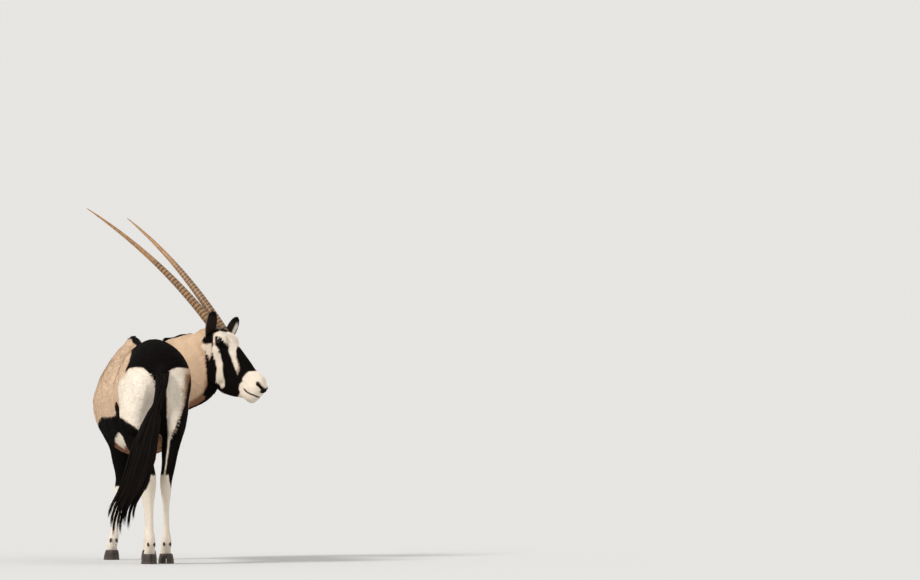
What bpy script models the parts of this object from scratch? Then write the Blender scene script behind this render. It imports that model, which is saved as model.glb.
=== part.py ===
"""A life-size standing gemsbok that looks back over its right shoulder.

The body is modelled whole from lofted forms, in metres, with X to the animal's right, Y forward and Z up.
It is then parted into the head, neck, torso, tail and legs by thin cuts. Ears, eyes, horns and hooves are
pieces of their own. At the end everything is set with the middle of its footprint at the origin.
"""

import math
import random

import bmesh
import bpy
import numpy as np
from mathutils import Matrix, Vector

# Gaps and fineness
GAP = 0.0003
BODY_VOXEL = 0.0075
HEAD_VOXEL = 0.0038
RING_POINTS = 28
STEPS_BETWEEN_STATIONS = 4
EASE_FADE = 0.08

# Triangles kept for the body and the head before they are parted
BODY_TRIANGLES = 3900
HEAD_TRIANGLES = 1900

# The torso: place of each section's widest level, then half width, rise above it, drop below it, and
# how full the upper half is (2 is an ellipse, less is leaner)
TORSO = (
    ((0.0, -0.074, 0.885), 0.060, 0.050, 0.060, 2.0),
    ((0.0, -0.045, 0.885), 0.112, 0.112, 0.120, 2.0),
    ((0.0, 0.020, 0.880), 0.148, 0.163, 0.190, 1.9),
    ((0.0, 0.100, 0.865), 0.168, 0.198, 0.225, 1.8),
    ((0.0, 0.220, 0.840), 0.178, 0.226, 0.260, 1.75),
    ((0.0, 0.360, 0.790), 0.200, 0.262, 0.270, 1.60),
    ((0.0, 0.500, 0.768), 0.221, 0.274, 0.268, 1.50),
    ((0.0, 0.640, 0.760), 0.224, 0.288, 0.258, 1.45),
    ((0.0, 0.760, 0.766), 0.203, 0.288, 0.248, 1.45),
    ((0.0, 0.860, 0.785), 0.170, 0.265, 0.247, 1.55),
    ((0.0, 0.950, 0.795), 0.146, 0.225, 0.220, 1.75),
    ((0.0, 1.030, 0.790), 0.120, 0.150, 0.165, 2.0),
    ((0.0, 1.075, 0.785), 0.060, 0.070, 0.085, 2.0),
)

# The neck turns to the animal's right and rises to the head
NECK = (
    ((0.000, 0.800, 0.835), 0.140, 0.200, 0.250, 1.8),
    ((0.045, 0.935, 0.848), 0.135, 0.192, 0.220, 1.8),
    ((0.135, 1.030, 0.865), 0.120, 0.180, 0.200, 1.8),
    ((0.230, 1.048, 0.892), 0.108, 0.160, 0.196, 1.8),
    ((0.307, 1.036, 0.938), 0.096, 0.163, 0.194, 1.8),
    ((0.356, 1.014, 0.993), 0.080, 0.127, 0.124, 1.9),
    ((0.382, 0.998, 1.028), 0.066, 0.094, 0.080, 2.0),
)

# The head has axes of its own: forward to the nose, left, and up through the brow. Its origin lies
# between the eyes.
HEAD_PLACE = Vector((0.4643, 0.930, 1.028))
HEAD_YAW = math.radians(130.8)
HEAD_PITCH = math.radians(41.5)
HEAD_ROLL = math.radians(3.9)

# Sections of the head: distance forward, widest level, half width, rise, drop, fullness above and below
HEAD = (
    (-0.150, -0.078, 0.044, 0.050, 0.052, 2.0, 2.0),
    (-0.125, -0.070, 0.064, 0.075, 0.084, 2.0, 2.0),
    (-0.085, -0.060, 0.073, 0.088, 0.106, 2.1, 1.9),
    (-0.040, -0.042, 0.076, 0.084, 0.132, 2.2, 1.8),
    (0.010, -0.028, 0.074, 0.074, 0.152, 2.2, 1.7),
    (0.060, -0.036, 0.066, 0.078, 0.149, 2.1, 1.6),
    (0.110, -0.046, 0.056, 0.083, 0.138, 2.1, 1.6),
    (0.160, -0.052, 0.047, 0.083, 0.121, 2.1, 1.7),
    (0.200, -0.054, 0.043, 0.078, 0.100, 2.2, 1.8),
    (0.235, -0.052, 0.041, 0.080, 0.077, 2.3, 2.0),
    (0.265, -0.050, 0.040, 0.079, 0.066, 2.3, 2.1),
    (0.288, -0.050, 0.036, 0.066, 0.060, 2.2, 2.1),
    (0.303, -0.052, 0.028, 0.047, 0.048, 2.0, 2.0),
    (0.312, -0.055, 0.014, 0.024, 0.030, 2.0, 2.0),
)

# Eyes, in the head's axes (forward, left, up) on the left side
EYE_PLACE = Vector((-0.012, 0.0625, 0.017))
EYE_RADIUS = 0.0200
EYE_ROWS = 8
ORBIT_PLACE = Vector((-0.014, 0.0560, 0.015))
ORBIT_RADII = (0.046, 0.0290, 0.036)
LID_OPENING = (0.0140, 0.0100)
LID_SLANT = math.radians(-18.0)

# Mouth line from its corner to the front of the lips: forward and up, in the head's axes
MOUTH_LINE = ((0.236, -0.074), (0.260, -0.0745), (0.280, -0.069), (0.298, -0.062), (0.322, -0.0575))
MOUTH_LINE_WIDTH = 0.009
MOUTH_LINE_DEPTH = 0.006
MOUTH_LINE_REACH = 0.013

# Nostrils: upper rear and lower front end of each slit
NOSTRIL_REAR = Vector((0.277, 0.0365, -0.007))
NOSTRIL_FRONT = Vector((0.311, 0.014, -0.018))
NOSTRIL_BEND = Vector((0.004, 0.007, 0.003))
NOSTRIL_RADIUS = 0.0068

# Ears
EAR_ROOT = {"ear_left": Vector((-0.037, 0.077, -0.036)), "ear_right": Vector((-0.056, 0.062, -0.022))}
EAR_TIP = {"ear_left": Vector((-0.093, 0.117, 0.104)), "ear_right": Vector((-0.113, 0.108, 0.110))}
EAR_FACING = {"ear_left": (0.80, -0.55, 0.0), "ear_right": (0.90, -0.42, 0.0)}
EAR_WIDTH = 0.076
EAR_DEPTH = 0.017
EAR_WALL = 0.0038

# Horns, which are not quite alike: root, length, first rise and later sag of the arch, spread and flare
HORNS = {
    1: (Vector((-0.055, 0.0400, 0.0250)), 0.857, 0.182, 0.190, 0.079, 0.083),
    -1: (Vector((-0.056, 0.0320, 0.0250)), 0.885, 0.159, 0.151, 0.054, 0.092),
}
HORN_ROOT_RADIUS = 0.0200
HORN_TIP_RADIUS = 0.0022
HORN_RINGS = 14
HORN_RING_SHARE = 0.52
HORN_RING_HEIGHT = 0.085
HORN_SIDES = 8

# Legs: where each foot stands and how far out its knee or hock is
FORE_FEET = {"left": (-0.088, 0.890, -0.047), "right": (0.088, 0.890, 0.070)}
HIND_FEET = {"left": (-0.041, 0.040, -0.047), "right": (0.048, 0.120, 0.041)}
# How far out each thigh's middle lies, and its half width there
THIGHS = {"left": (0.104, 0.070), "right": (0.086, 0.062)}
FETLOCK = 0.110
KNEE = 0.345
HOCK = 0.395

# Hooves
CORONET = 0.046
HOOF_LENGTH = 0.092
HOOF_HALF = 0.038
HOOF_MIDDLE = 0.024
HOOF_TOE_TAPER = 0.45
HOOF_POINTS = 18
HOOF_LEVELS = ((0.0, 0.985, 0.0), (0.004, 1.0, 0.0), (0.026, 0.93, -0.004), (CORONET, 0.80, -0.009))
HOOF_TOE_OUT = math.radians(8.0)

# The tail: the dock's path, then where the tuft's middle runs down to its ends
DOCK = (
    ((0.000, -0.050, 0.925), 0.028),
    ((-0.004, -0.096, 0.900), 0.027),
    ((-0.012, -0.116, 0.845), 0.023),
    ((-0.028, -0.120, 0.770), 0.019),
    ((-0.046, -0.122, 0.700), 0.015),
    ((-0.066, -0.124, 0.640), 0.010),
)
TUFT = (
    ((-0.026, -0.108, 0.800), 0.018),
    ((-0.048, -0.118, 0.720), 0.030),
    ((-0.072, -0.124, 0.630), 0.040),
    ((-0.095, -0.128, 0.540), 0.050),
    ((-0.122, -0.132, 0.445), 0.056),
    ((-0.154, -0.134, 0.350), 0.058),
    ((-0.187, -0.134, 0.255), 0.058),
    ((-0.222, -0.132, 0.150), 0.056),
)
TAIL_SOCKET = 0.035
TUFT_LOCKS = 26
TUFT_THICKNESS = 0.55

# Mane and withers locks
MANE_LOCKS = 34
MANE_LENGTH = 0.028
MANE_WIDTH = 0.017
MANE_THICKNESS = 0.007
MANE_CLEAR = 0.004

# Where the neck leaves the torso, and where the head leaves the neck. Each part is first cut a little
# long, thinned out, and then cut again.
NECK_CUT_PLACE = (0.155, 1.020, 0.870)
NECK_CUT_AXIS = (0.92, 0.30, 0.25)
HEAD_CUT_PLACE = (-0.105, 0.0, -0.08)
HEAD_CUT_SLANT = math.radians(42.0)
ROUGH_CUT = 0.02

# Where the legs leave the torso: reach to the rear and front, level at the middle, and slopes outwards
# and forwards. The legs of a pair are parted by a narrow slit.
LEG_CELLS = {"hind": ((-0.30, 0.335), 0.545, 1.25, -0.45), "fore": ((0.72, 1.20), 0.555, 0.35, 0.0)}
LEG_SLIT = 0.0015
LEG_CELL_REACH = 0.40

SEED = 11

COLOURS = {
    "coat": ((0.52, 0.40, 0.29, 1.0), 0.75),
    "dark_coat": ((0.02, 0.017, 0.015, 1.0), 0.7),
    "white_coat": ((0.78, 0.74, 0.66, 1.0), 0.75),
    "horn": ((0.16, 0.11, 0.065, 1.0), 0.45),
    "hoof": ((0.05, 0.04, 0.035, 1.0), 0.5),
    "eye": ((0.012, 0.008, 0.006, 1.0), 0.12),
}


def clear_scene():
    for thing in list(bpy.data.objects):
        bpy.data.objects.remove(thing, do_unlink=True)


def make_materials():
    made = {}
    for name, (colour, roughness) in COLOURS.items():
        material = bpy.data.materials.new(name)
        material.use_nodes = True
        shader = material.node_tree.nodes["Principled BSDF"]
        shader.inputs["Base Color"].default_value = colour
        shader.inputs["Roughness"].default_value = roughness
        made[name] = material
    return made


def mesh_object(name, points, faces):
    """A new object from points and faces, with its faces turned outwards."""
    mesh = bpy.data.meshes.new(name)
    mesh.from_pydata([tuple(point) for point in points], [], faces)
    thing = bpy.data.objects.new(name, mesh)
    bpy.context.scene.collection.objects.link(thing)
    turn_outwards(thing)
    return thing


def turn_outwards(thing):
    work = bmesh.new()
    work.from_mesh(thing.data)
    bmesh.ops.recalc_face_normals(work, faces=work.faces)
    work.to_mesh(thing.data)
    work.free()


def loft(name, rings):
    """A closed skin through rings of equal count, its ends closed by fans."""
    work = bmesh.new()
    loops = [[work.verts.new(point) for point in ring] for ring in rings]
    count = len(loops[0])
    for near, far in zip(loops, loops[1:]):
        for i in range(count):
            j = (i + 1) % count
            work.faces.new((near[i], near[j], far[j], far[i]))
    for loop in (loops[0], loops[-1]):
        middle = work.verts.new(sum((vertex.co for vertex in loop), Vector()) / count)
        for i in range(count):
            work.faces.new((loop[i], loop[(i + 1) % count], middle))
    bmesh.ops.recalc_face_normals(work, faces=work.faces)
    mesh = bpy.data.meshes.new(name)
    work.to_mesh(mesh)
    work.free()
    thing = bpy.data.objects.new(name, mesh)
    bpy.context.scene.collection.objects.link(thing)
    return thing


def ring(centre, side, up, half, rise, drop, above=2.0, below=2.0, count=RING_POINTS):
    """A rounded section: half width to each side, rise above and drop below its widest level."""
    points = []
    for i in range(count):
        turn = 2.0 * math.pi * i / count
        across, along = math.cos(turn), math.sin(turn)
        power = above if along >= 0.0 else below
        reach = rise if along >= 0.0 else drop
        x = half * math.copysign(abs(across) ** (2.0 / power), across)
        y = reach * math.copysign(abs(along) ** (2.0 / power), along)
        points.append(centre + side * x + up * y)
    return points


def smooth_rows(rows, steps=STEPS_BETWEEN_STATIONS):
    """Rows of numbers with smooth in-between rows, through every given row."""
    rows = np.array(rows, dtype=float)
    ends = np.vstack([2 * rows[0] - rows[1], rows, 2 * rows[-1] - rows[-2]])
    out = []
    for k in range(1, len(ends) - 2):
        a, b, c, d = ends[k - 1 : k + 3]
        for step in range(steps):
            t = step / steps
            slope = (c - a) * t
            bend = (2 * a - 5 * b + 4 * c - d) * t**2
            out.append(0.5 * (2 * b + slope + bend + (3 * b - a - 3 * c + d) * t**3))
    out.append(rows[-1])
    return np.array(out)


def tube(name, stations, up, count=RING_POINTS, steps=STEPS_BETWEEN_STATIONS, sections_across=None):
    """A loft along a path. A station holds its place, half width, rise, drop and fullness."""
    rows = smooth_rows([(*place, *sizes) for place, *sizes in stations], steps)
    places = [Vector(row[:3]) for row in rows]
    rings = []
    for i, row in enumerate(rows):
        before = places[max(i - 1, 0)]
        after = places[min(i + 1, len(places) - 1)]
        along = sections_across or (after - before).normalized()
        side = along.cross(up).normalized()
        rise_way = side.cross(along).normalized()
        half, rise, drop, above = row[3:7]
        below = row[7] if len(row) > 7 else 2.0
        rings.append(ring(places[i], side, rise_way, half, rise, drop, above, below, count))
    return loft(name, rings)


def blob(name, centre, radii, turn=None, finer=3):
    """An ellipsoid of three radii, turned by a matrix."""
    work = bmesh.new()
    scale = Matrix.Diagonal((*radii, 1.0))
    place = Matrix.Translation(centre) @ (turn.to_4x4() if turn else Matrix.Identity(4)) @ scale
    bmesh.ops.create_icosphere(work, subdivisions=finer, radius=1.0, matrix=place)
    mesh = bpy.data.meshes.new(name)
    work.to_mesh(mesh)
    work.free()
    thing = bpy.data.objects.new(name, mesh)
    bpy.context.scene.collection.objects.link(thing)
    return thing


def bake(thing):
    """Replaces an object's mesh by what its modifiers make of it."""
    graph = bpy.context.evaluated_depsgraph_get()
    graph.update()
    mesh = bpy.data.meshes.new_from_object(thing.evaluated_get(graph))
    thing.modifiers.clear()
    thing.data = mesh


def join(name, things):
    """One object that holds the meshes of several."""
    work = bmesh.new()
    for thing in things:
        work.from_mesh(thing.data)
        bpy.data.objects.remove(thing, do_unlink=True)
    mesh = bpy.data.meshes.new(name)
    work.to_mesh(mesh)
    work.free()
    joined = bpy.data.objects.new(name, mesh)
    bpy.context.scene.collection.objects.link(joined)
    return joined


def blend_forms(name, things, voxel, rounds, more_rounds=0, above=0.0):
    """Melts overlapping closed forms into one skin and eases the creases, more so above a level."""
    joined = join(name, things)
    remesh = joined.modifiers.new("melt", "REMESH")
    remesh.mode = "VOXEL"
    remesh.voxel_size = voxel
    smooth = joined.modifiers.new("ease", "SMOOTH")
    smooth.factor = 0.5
    smooth.iterations = rounds
    bake(joined)
    if more_rounds:
        broad = joined.vertex_groups.new(name="broad")
        for vertex in joined.data.vertices:
            share = min(max((vertex.co.z - above) / EASE_FADE, 0.0), 1.0)
            if share > 0.0:
                broad.add([vertex.index], share, "REPLACE")
        smooth = joined.modifiers.new("ease_more", "SMOOTH")
        smooth.factor = 0.5
        smooth.iterations = more_rounds
        smooth.vertex_group = broad.name
        bake(joined)
        joined.vertex_groups.clear()
    return joined


def thin_out(thing, triangles):
    """Collapses edges until about the wanted number of triangles is left."""
    now = sum(len(face.vertices) - 2 for face in thing.data.polygons)
    thin = thing.modifiers.new("thin", "DECIMATE")
    thin.ratio = triangles / now
    thin.use_collapse_triangulate = True
    bake(thing)


def boolean(thing, other, operation):
    """Joins, cuts or intersects with one object or a list, by the first solver that leaves it closed."""
    others = other if isinstance(other, list) else [other]
    group = bpy.data.collections.new("operands")
    bpy.context.scene.collection.children.link(group)
    for piece in others:
        bpy.context.scene.collection.objects.unlink(piece)
        group.objects.link(piece)
    before = thing.data
    for solver in ("EXACT", "MANIFOLD"):
        thing.data = before.copy()
        cut = thing.modifiers.new("cut", "BOOLEAN")
        cut.operation = operation
        cut.solver = solver
        if isinstance(other, list):
            cut.operand_type = "COLLECTION"
            cut.collection = group
        else:
            cut.object = other
        bake(thing)
        keep_largest(thing)
        if is_closed(thing):
            break
    for piece in others:
        bpy.data.objects.remove(piece, do_unlink=True)
    bpy.data.collections.remove(group)
    return is_closed(thing)


def is_closed(thing):
    """Whether an object has faces and each of its edges lies between two of them."""
    work = bmesh.new()
    work.from_mesh(thing.data)
    closed = len(work.faces) > 0 and all(edge.is_manifold for edge in work.edges)
    work.free()
    return closed


def keep_largest(thing):
    """Keeps the largest closed surface, as triangles."""
    work = bmesh.new()
    work.from_mesh(thing.data)
    bmesh.ops.remove_doubles(work, verts=work.verts, dist=1e-6)
    bmesh.ops.triangulate(work, faces=work.faces)
    left = set(work.faces)
    shells = []
    while left:
        start = left.pop()
        shell = [start]
        queue = [start]
        while queue:
            face = queue.pop()
            for edge in face.edges:
                for other in edge.link_faces:
                    if other in left:
                        left.remove(other)
                        shell.append(other)
                        queue.append(other)
        shells.append(shell)
    shells.sort(key=lambda shell: sum(face.calc_area() for face in shell))
    for shell in shells[:-1]:
        bmesh.ops.delete(work, geom=shell, context="FACES")
    loose = [vertex for vertex in work.verts if not vertex.link_faces]
    bmesh.ops.delete(work, geom=loose, context="VERTS")
    work.to_mesh(thing.data)
    work.free()


def copy_of(thing, name, swell=0.0):
    """A copy of an object, its surface moved outwards by swell."""
    twin = bpy.data.objects.new(name, thing.data.copy())
    bpy.context.scene.collection.objects.link(twin)
    if swell:
        normals = [vertex.normal.copy() for vertex in twin.data.vertices]
        for vertex, normal in zip(twin.data.vertices, normals):
            vertex.co += normal * swell
    return twin


def fit_against(thing, neighbour):
    """Cuts an object back so that it meets its neighbour face to face, a thin gap apart."""
    before = thing.data
    for gap in (1.3 * GAP, 1.5 * GAP, 1.7 * GAP, 2.0 * GAP):
        thing.data = before.copy()
        if boolean(thing, copy_of(neighbour, "clearance", gap), "DIFFERENCE"):
            break


def prism_below(name, x_range, y_range, level, slope_x, slope_y, bottom=-0.2):
    """A block with upright walls and a slanted top, whose level holds at the origin of X and Y."""
    (x0, x1), (y0, y1) = x_range, y_range
    corners = [(x0, y0), (x1, y0), (x1, y1), (x0, y1)]
    points = [(x, y, bottom) for x, y in corners]
    points += [(x, y, level + slope_x * x + slope_y * y) for x, y in corners]
    faces = [(0, 3, 2, 1), (4, 5, 6, 7), (0, 1, 5, 4), (1, 2, 6, 5), (2, 3, 7, 6), (3, 0, 4, 7)]
    return mesh_object(name, points, faces)


def slab_block(name, centre, axis, up, depth, half_side, half_up):
    """A block that starts at a plane and runs on along its axis."""
    axis = Vector(axis).normalized()
    side = axis.cross(Vector(up)).normalized()
    rise = side.cross(axis).normalized()
    points = []
    for far in (0.0, depth):
        for x, z in ((-1, -1), (1, -1), (1, 1), (-1, 1)):
            points.append(Vector(centre) + axis * far + side * (x * half_side) + rise * (z * half_up))
    faces = [(0, 3, 2, 1), (4, 5, 6, 7), (0, 1, 5, 4), (1, 2, 6, 5), (2, 3, 7, 6), (3, 0, 4, 7)]
    return mesh_object(name, points, faces)


def head_matrix():
    """From the head's axes (forward, left, up) to the body's."""
    forward = Vector((math.sin(HEAD_YAW), math.cos(HEAD_YAW), 0.0))
    left = Vector((-math.cos(HEAD_YAW), math.sin(HEAD_YAW), 0.0))
    up = Vector((0.0, 0.0, 1.0))
    nose = math.cos(HEAD_PITCH) * forward - math.sin(HEAD_PITCH) * up
    brow = math.sin(HEAD_PITCH) * forward + math.cos(HEAD_PITCH) * up
    brow_rolled = math.cos(HEAD_ROLL) * brow + math.sin(HEAD_ROLL) * left
    left_rolled = math.cos(HEAD_ROLL) * left - math.sin(HEAD_ROLL) * brow
    turn = Matrix((nose, left_rolled, brow_rolled)).transposed()
    return Matrix.Translation(HEAD_PLACE) @ turn.to_4x4()


def mirrored(place, side):
    """A place in the head's axes on the left (1) or right (-1) side."""
    return Vector((place.x, place.y * side, place.z))


def fore_leg_stations(side, foot):
    """Stations down a foreleg: place, half width, front, rear and fullness."""
    x, y, knee_x = foot
    return (
        ((side * 0.080, 0.870, 0.940), 0.024, 0.055, 0.055, 2.0),
        ((side * 0.103, 0.885, 0.865), 0.045, 0.100, 0.105, 2.0),
        ((side * 0.115, 0.925, 0.760), 0.056, 0.112, 0.132, 2.0),
        ((side * 0.095, 0.900, 0.650), 0.059, 0.095, 0.110, 2.0),
        ((knee_x + side * 0.008, 0.885, 0.560), 0.058, 0.062, 0.074, 2.0),
        ((knee_x, 0.885, 0.475), 0.047, 0.045, 0.050, 2.0),
        ((knee_x, 0.890, 0.400), 0.030, 0.034, 0.036, 2.0),
        ((knee_x, 0.895, KNEE), 0.032, 0.037, 0.034, 2.2),
        ((knee_x * 0.8 + x * 0.2, 0.893, 0.295), 0.025, 0.027, 0.030, 2.2),
        ((knee_x * 0.5 + x * 0.5, 0.890, 0.220), 0.0185, 0.020, 0.025, 2.2),
        ((knee_x * 0.25 + x * 0.75, y - 0.003, 0.150), 0.0195, 0.021, 0.026, 2.2),
        ((knee_x * 0.15 + x * 0.85, y, FETLOCK), 0.0255, 0.026, 0.033, 2.1),
        ((x, y + 0.018, 0.070), 0.027, 0.028, 0.030, 2.1),
        ((x, y + 0.034, CORONET - 0.012), 0.030, 0.032, 0.034, 2.1),
    )


def hind_leg_stations(side, foot, thigh):
    """Stations down a hind leg: place, half width, front, rear and fullness."""
    x, y, hock_x = foot
    out, half = thigh
    return (
        ((side * 0.080, 0.080, 0.900), 0.050, 0.090, 0.095, 2.0),
        ((side * (out * 0.5 + 0.045), 0.100, 0.800), half, 0.160, 0.150, 2.0),
        ((side * out, 0.125, 0.690), half, 0.170, 0.152, 2.0),
        ((side * (out - 0.006), 0.140, 0.605), half * 0.80, 0.125, 0.128, 2.0),
        ((side * (out * 0.5 + 0.022), y * 0.3 + 0.075, 0.530), half * 0.64, 0.080, 0.090, 2.0),
        ((hock_x + side * 0.012, y * 0.7 + 0.000, 0.465), 0.034, 0.048, 0.062, 2.0),
        ((hock_x, y - 0.040, HOCK), 0.0305, 0.040, 0.046, 2.1),
        ((hock_x, y - 0.034, 0.335), 0.0265, 0.030, 0.034, 2.2),
        ((hock_x * 0.6 + x * 0.4, y - 0.026, 0.250), 0.0190, 0.021, 0.025, 2.2),
        ((hock_x * 0.2 + x * 0.8, y - 0.014, 0.160), 0.0200, 0.021, 0.026, 2.2),
        ((x, y - 0.006, FETLOCK), 0.0265, 0.026, 0.034, 2.1),
        ((x, y + 0.016, 0.070), 0.0275, 0.028, 0.030, 2.1),
        ((x, y + 0.034, CORONET - 0.012), 0.030, 0.032, 0.034, 2.1),
    )


def torso_forms():
    """The trunk with its shoulders, haunches and the root of the tail."""
    up = Vector((0.0, 0.0, 1.0))
    forms = [tube("trunk", TORSO, up, sections_across=Vector((0.0, 1.0, 0.0)))]
    forms.append(blob("withers", (0.0, 0.80, 0.985), (0.050, 0.150, 0.088)))
    forms.append(blob("breast", (0.0, 0.975, 0.690), (0.085, 0.105, 0.120)))
    for side in (-1, 1):
        forms.append(blob("hip", (side * 0.098, 0.190, 0.950), (0.050, 0.090, 0.055)))
        forms.append(blob("buttock", (side * 0.078, 0.012, 0.825), (0.070, 0.086, 0.115)))
        forms.append(blob("point_of_shoulder", (side * 0.098, 0.980, 0.770), (0.055, 0.062, 0.085)))
    end = Vector(DOCK[1][0]).lerp(Vector(DOCK[2][0]), 0.4)
    dock = [(place, radius, radius, radius, 2.0) for place, radius in (*DOCK[:2], (tuple(end), DOCK[1][1]))]
    forms.append(tube("tail_root", dock, Vector((0.0, 1.0, 0.0)), count=16))
    return forms


def leg_forms():
    forward = Vector((0.0, 1.0, 0.0))
    forms = []
    for name, side in (("left", -1), ("right", 1)):
        forms.append(tube("fore", fore_leg_stations(side, FORE_FEET[name]), forward, count=20))
        forms.append(tube("hind", hind_leg_stations(side, HIND_FEET[name], THIGHS[name]), forward, count=20))
        forms += dewclaws(FORE_FEET[name])
        forms += dewclaws(HIND_FEET[name])
    return forms


def dewclaws(foot):
    """Two small claws behind each fetlock."""
    x, y, _ = foot
    claws = []
    for side in (-1, 1):
        claws.append(blob("dewclaw", (x + side * 0.0165, y - 0.033, FETLOCK - 0.018), (0.010, 0.010, 0.016)))
    return claws


def neck_forms():
    return [tube("neck", NECK, Vector((0.0, 0.0, 1.0)))]


def head_forms():
    """The skull's outline with brows, cheeks, lips and chin, in the head's axes, then set in place."""
    rows = smooth_rows(HEAD)
    rings = []
    left = Vector((0.0, 1.0, 0.0))
    brow = Vector((0.0, 0.0, 1.0))
    for forward, level, half, rise, drop, above, below in rows:
        rings.append(ring(Vector((forward, 0.0, level)), left, brow, half, rise, drop, above, below))
    forms = [loft("skull", rings)]
    for side in (-1, 1):
        forms.append(blob("orbit", mirrored(ORBIT_PLACE, side), ORBIT_RADII))
        forms.append(blob("brow", (-0.024, side * 0.040, 0.024), (0.048, 0.031, 0.025)))
        forms.append(blob("horn_boss", (-0.060, side * 0.036, 0.018), (0.034, 0.029, 0.030)))
        forms.append(blob("ear_boss", (-0.060, side * 0.058, -0.022), (0.034, 0.022, 0.034)))
        forms.append(blob("cheek", (0.045, side * 0.036, -0.085), (0.095, 0.029, 0.090)))
        forms.append(blob("cheekbone", (0.040, side * 0.050, -0.018), (0.085, 0.014, 0.022)))
        forms.append(blob("upper_lip", (0.262, side * 0.017, -0.044), (0.046, 0.028, 0.031)))
        forms.append(blob("nostril_wing", (0.284, side * 0.018, -0.015), (0.030, 0.018, 0.022)))
        forms.append(blob("lower_lip", (0.258, side * 0.013, -0.087), (0.046, 0.025, 0.027)))
    forms.append(blob("chin", (0.274, 0.0, -0.092), (0.037, 0.027, 0.025)))
    place = head_matrix()
    for form in forms:
        form.data.transform(place)
        turn_outwards(form)
    return forms


def mouth_cutter(side):
    """A thin bent blade that draws the line between the lips on one side."""
    rows = smooth_rows(MOUTH_LINE, 3)
    points = []
    for forward, up in rows:
        taper = 1.0 if forward > MOUTH_LINE[0][0] + 0.006 else 0.35
        surface = lip_half_width(forward)
        for deep in (True, False):
            thick = 0.0004 if deep else MOUTH_LINE_WIDTH * taper
            reach = max(surface - MOUTH_LINE_DEPTH, 0.0) if deep else surface + MOUTH_LINE_REACH
            points.append(Vector((forward, side * reach, up - thick / 2)))
            points.append(Vector((forward, side * reach, up + thick / 2)))
    faces = []
    for i in range(len(rows) - 1):
        a, b = 4 * i, 4 * (i + 1)
        faces += [(a, a + 1, b + 1, b), (a + 2, b + 2, b + 3, a + 3)]
        faces += [(a + 1, a + 3, b + 3, b + 1), (a, b, b + 2, a + 2)]
    last = 4 * (len(rows) - 1)
    faces += [(0, 2, 3, 1), (last, last + 1, last + 3, last + 2)]
    cutter = mesh_object("mouth_cutter", points, faces)
    cutter.data.transform(head_matrix())
    turn_outwards(cutter)
    return cutter


def lip_half_width(forward):
    """Half width of the muzzle at the mouth line."""
    return float(np.interp(forward, [row[0] for row in HEAD], [row[2] for row in HEAD]))


def nostril_cutter(side):
    """A short bent hollow that narrows to the rear."""
    middle = (NOSTRIL_REAR + NOSTRIL_FRONT) / 2 + NOSTRIL_BEND
    places = [NOSTRIL_REAR, middle, NOSTRIL_FRONT]
    radii = [NOSTRIL_RADIUS * 0.45, NOSTRIL_RADIUS * 0.8, NOSTRIL_RADIUS]
    stations = [(tuple(mirrored(p, side)), r, r, r, 2.0) for p, r in zip(places, radii)]
    cutter = tube("nostril_cutter", stations, Vector((0.0, 0.0, 1.0)), count=8, steps=2)
    cutter.data.transform(head_matrix())
    turn_outwards(cutter)
    return cutter


def lid_cutter(side):
    """An almond-shaped wedge that opens the lids, widening outwards from the eye."""
    wide, high = LID_OPENING
    eye = mirrored(EYE_PLACE, side)
    count = 14
    points = []
    for reach, grow in ((0.004, 0.72), (0.040, 1.75)):
        for i in range(count):
            turn = 2.0 * math.pi * i / count
            x = wide * grow * math.cos(turn)
            z = high * grow * math.copysign(abs(math.sin(turn)) ** 1.4, math.sin(turn))
            along = x * math.cos(LID_SLANT) - z * math.sin(LID_SLANT)
            up = x * math.sin(LID_SLANT) + z * math.cos(LID_SLANT)
            points.append(eye + Vector((along, side * reach, up)))
    faces = [(i, (i + 1) % count, count + (i + 1) % count, count + i) for i in range(count)]
    faces += [tuple(range(count)), tuple(range(count, 2 * count))]
    cutter = mesh_object("lid_cutter", points, faces)
    cutter.data.transform(head_matrix())
    turn_outwards(cutter)
    return cutter


def eyeball(name, side, swell=0.0):
    """The ball of the eye."""
    stations = []
    for i in range(1, EYE_ROWS):
        turn = math.pi * i / EYE_ROWS
        radius = (EYE_RADIUS + swell) * math.sin(turn)
        out = (EYE_RADIUS + swell) * math.cos(turn)
        centre = mirrored(EYE_PLACE, side) + Vector((0.0, out, 0.0))
        across, up = Vector((1.0, 0.0, 0.0)), Vector((0.0, 0.0, 1.0))
        stations.append(ring(centre, across, up, radius, radius, radius, count=12))
    ball = loft(name, stations)
    for vertex in ball.data.vertices[-2:]:
        pole = mirrored(EYE_PLACE, side)
        vertex.co = pole + (vertex.co - pole).normalized() * (EYE_RADIUS + swell)
    ball.data.transform(head_matrix())
    turn_outwards(ball)
    return ball


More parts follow.
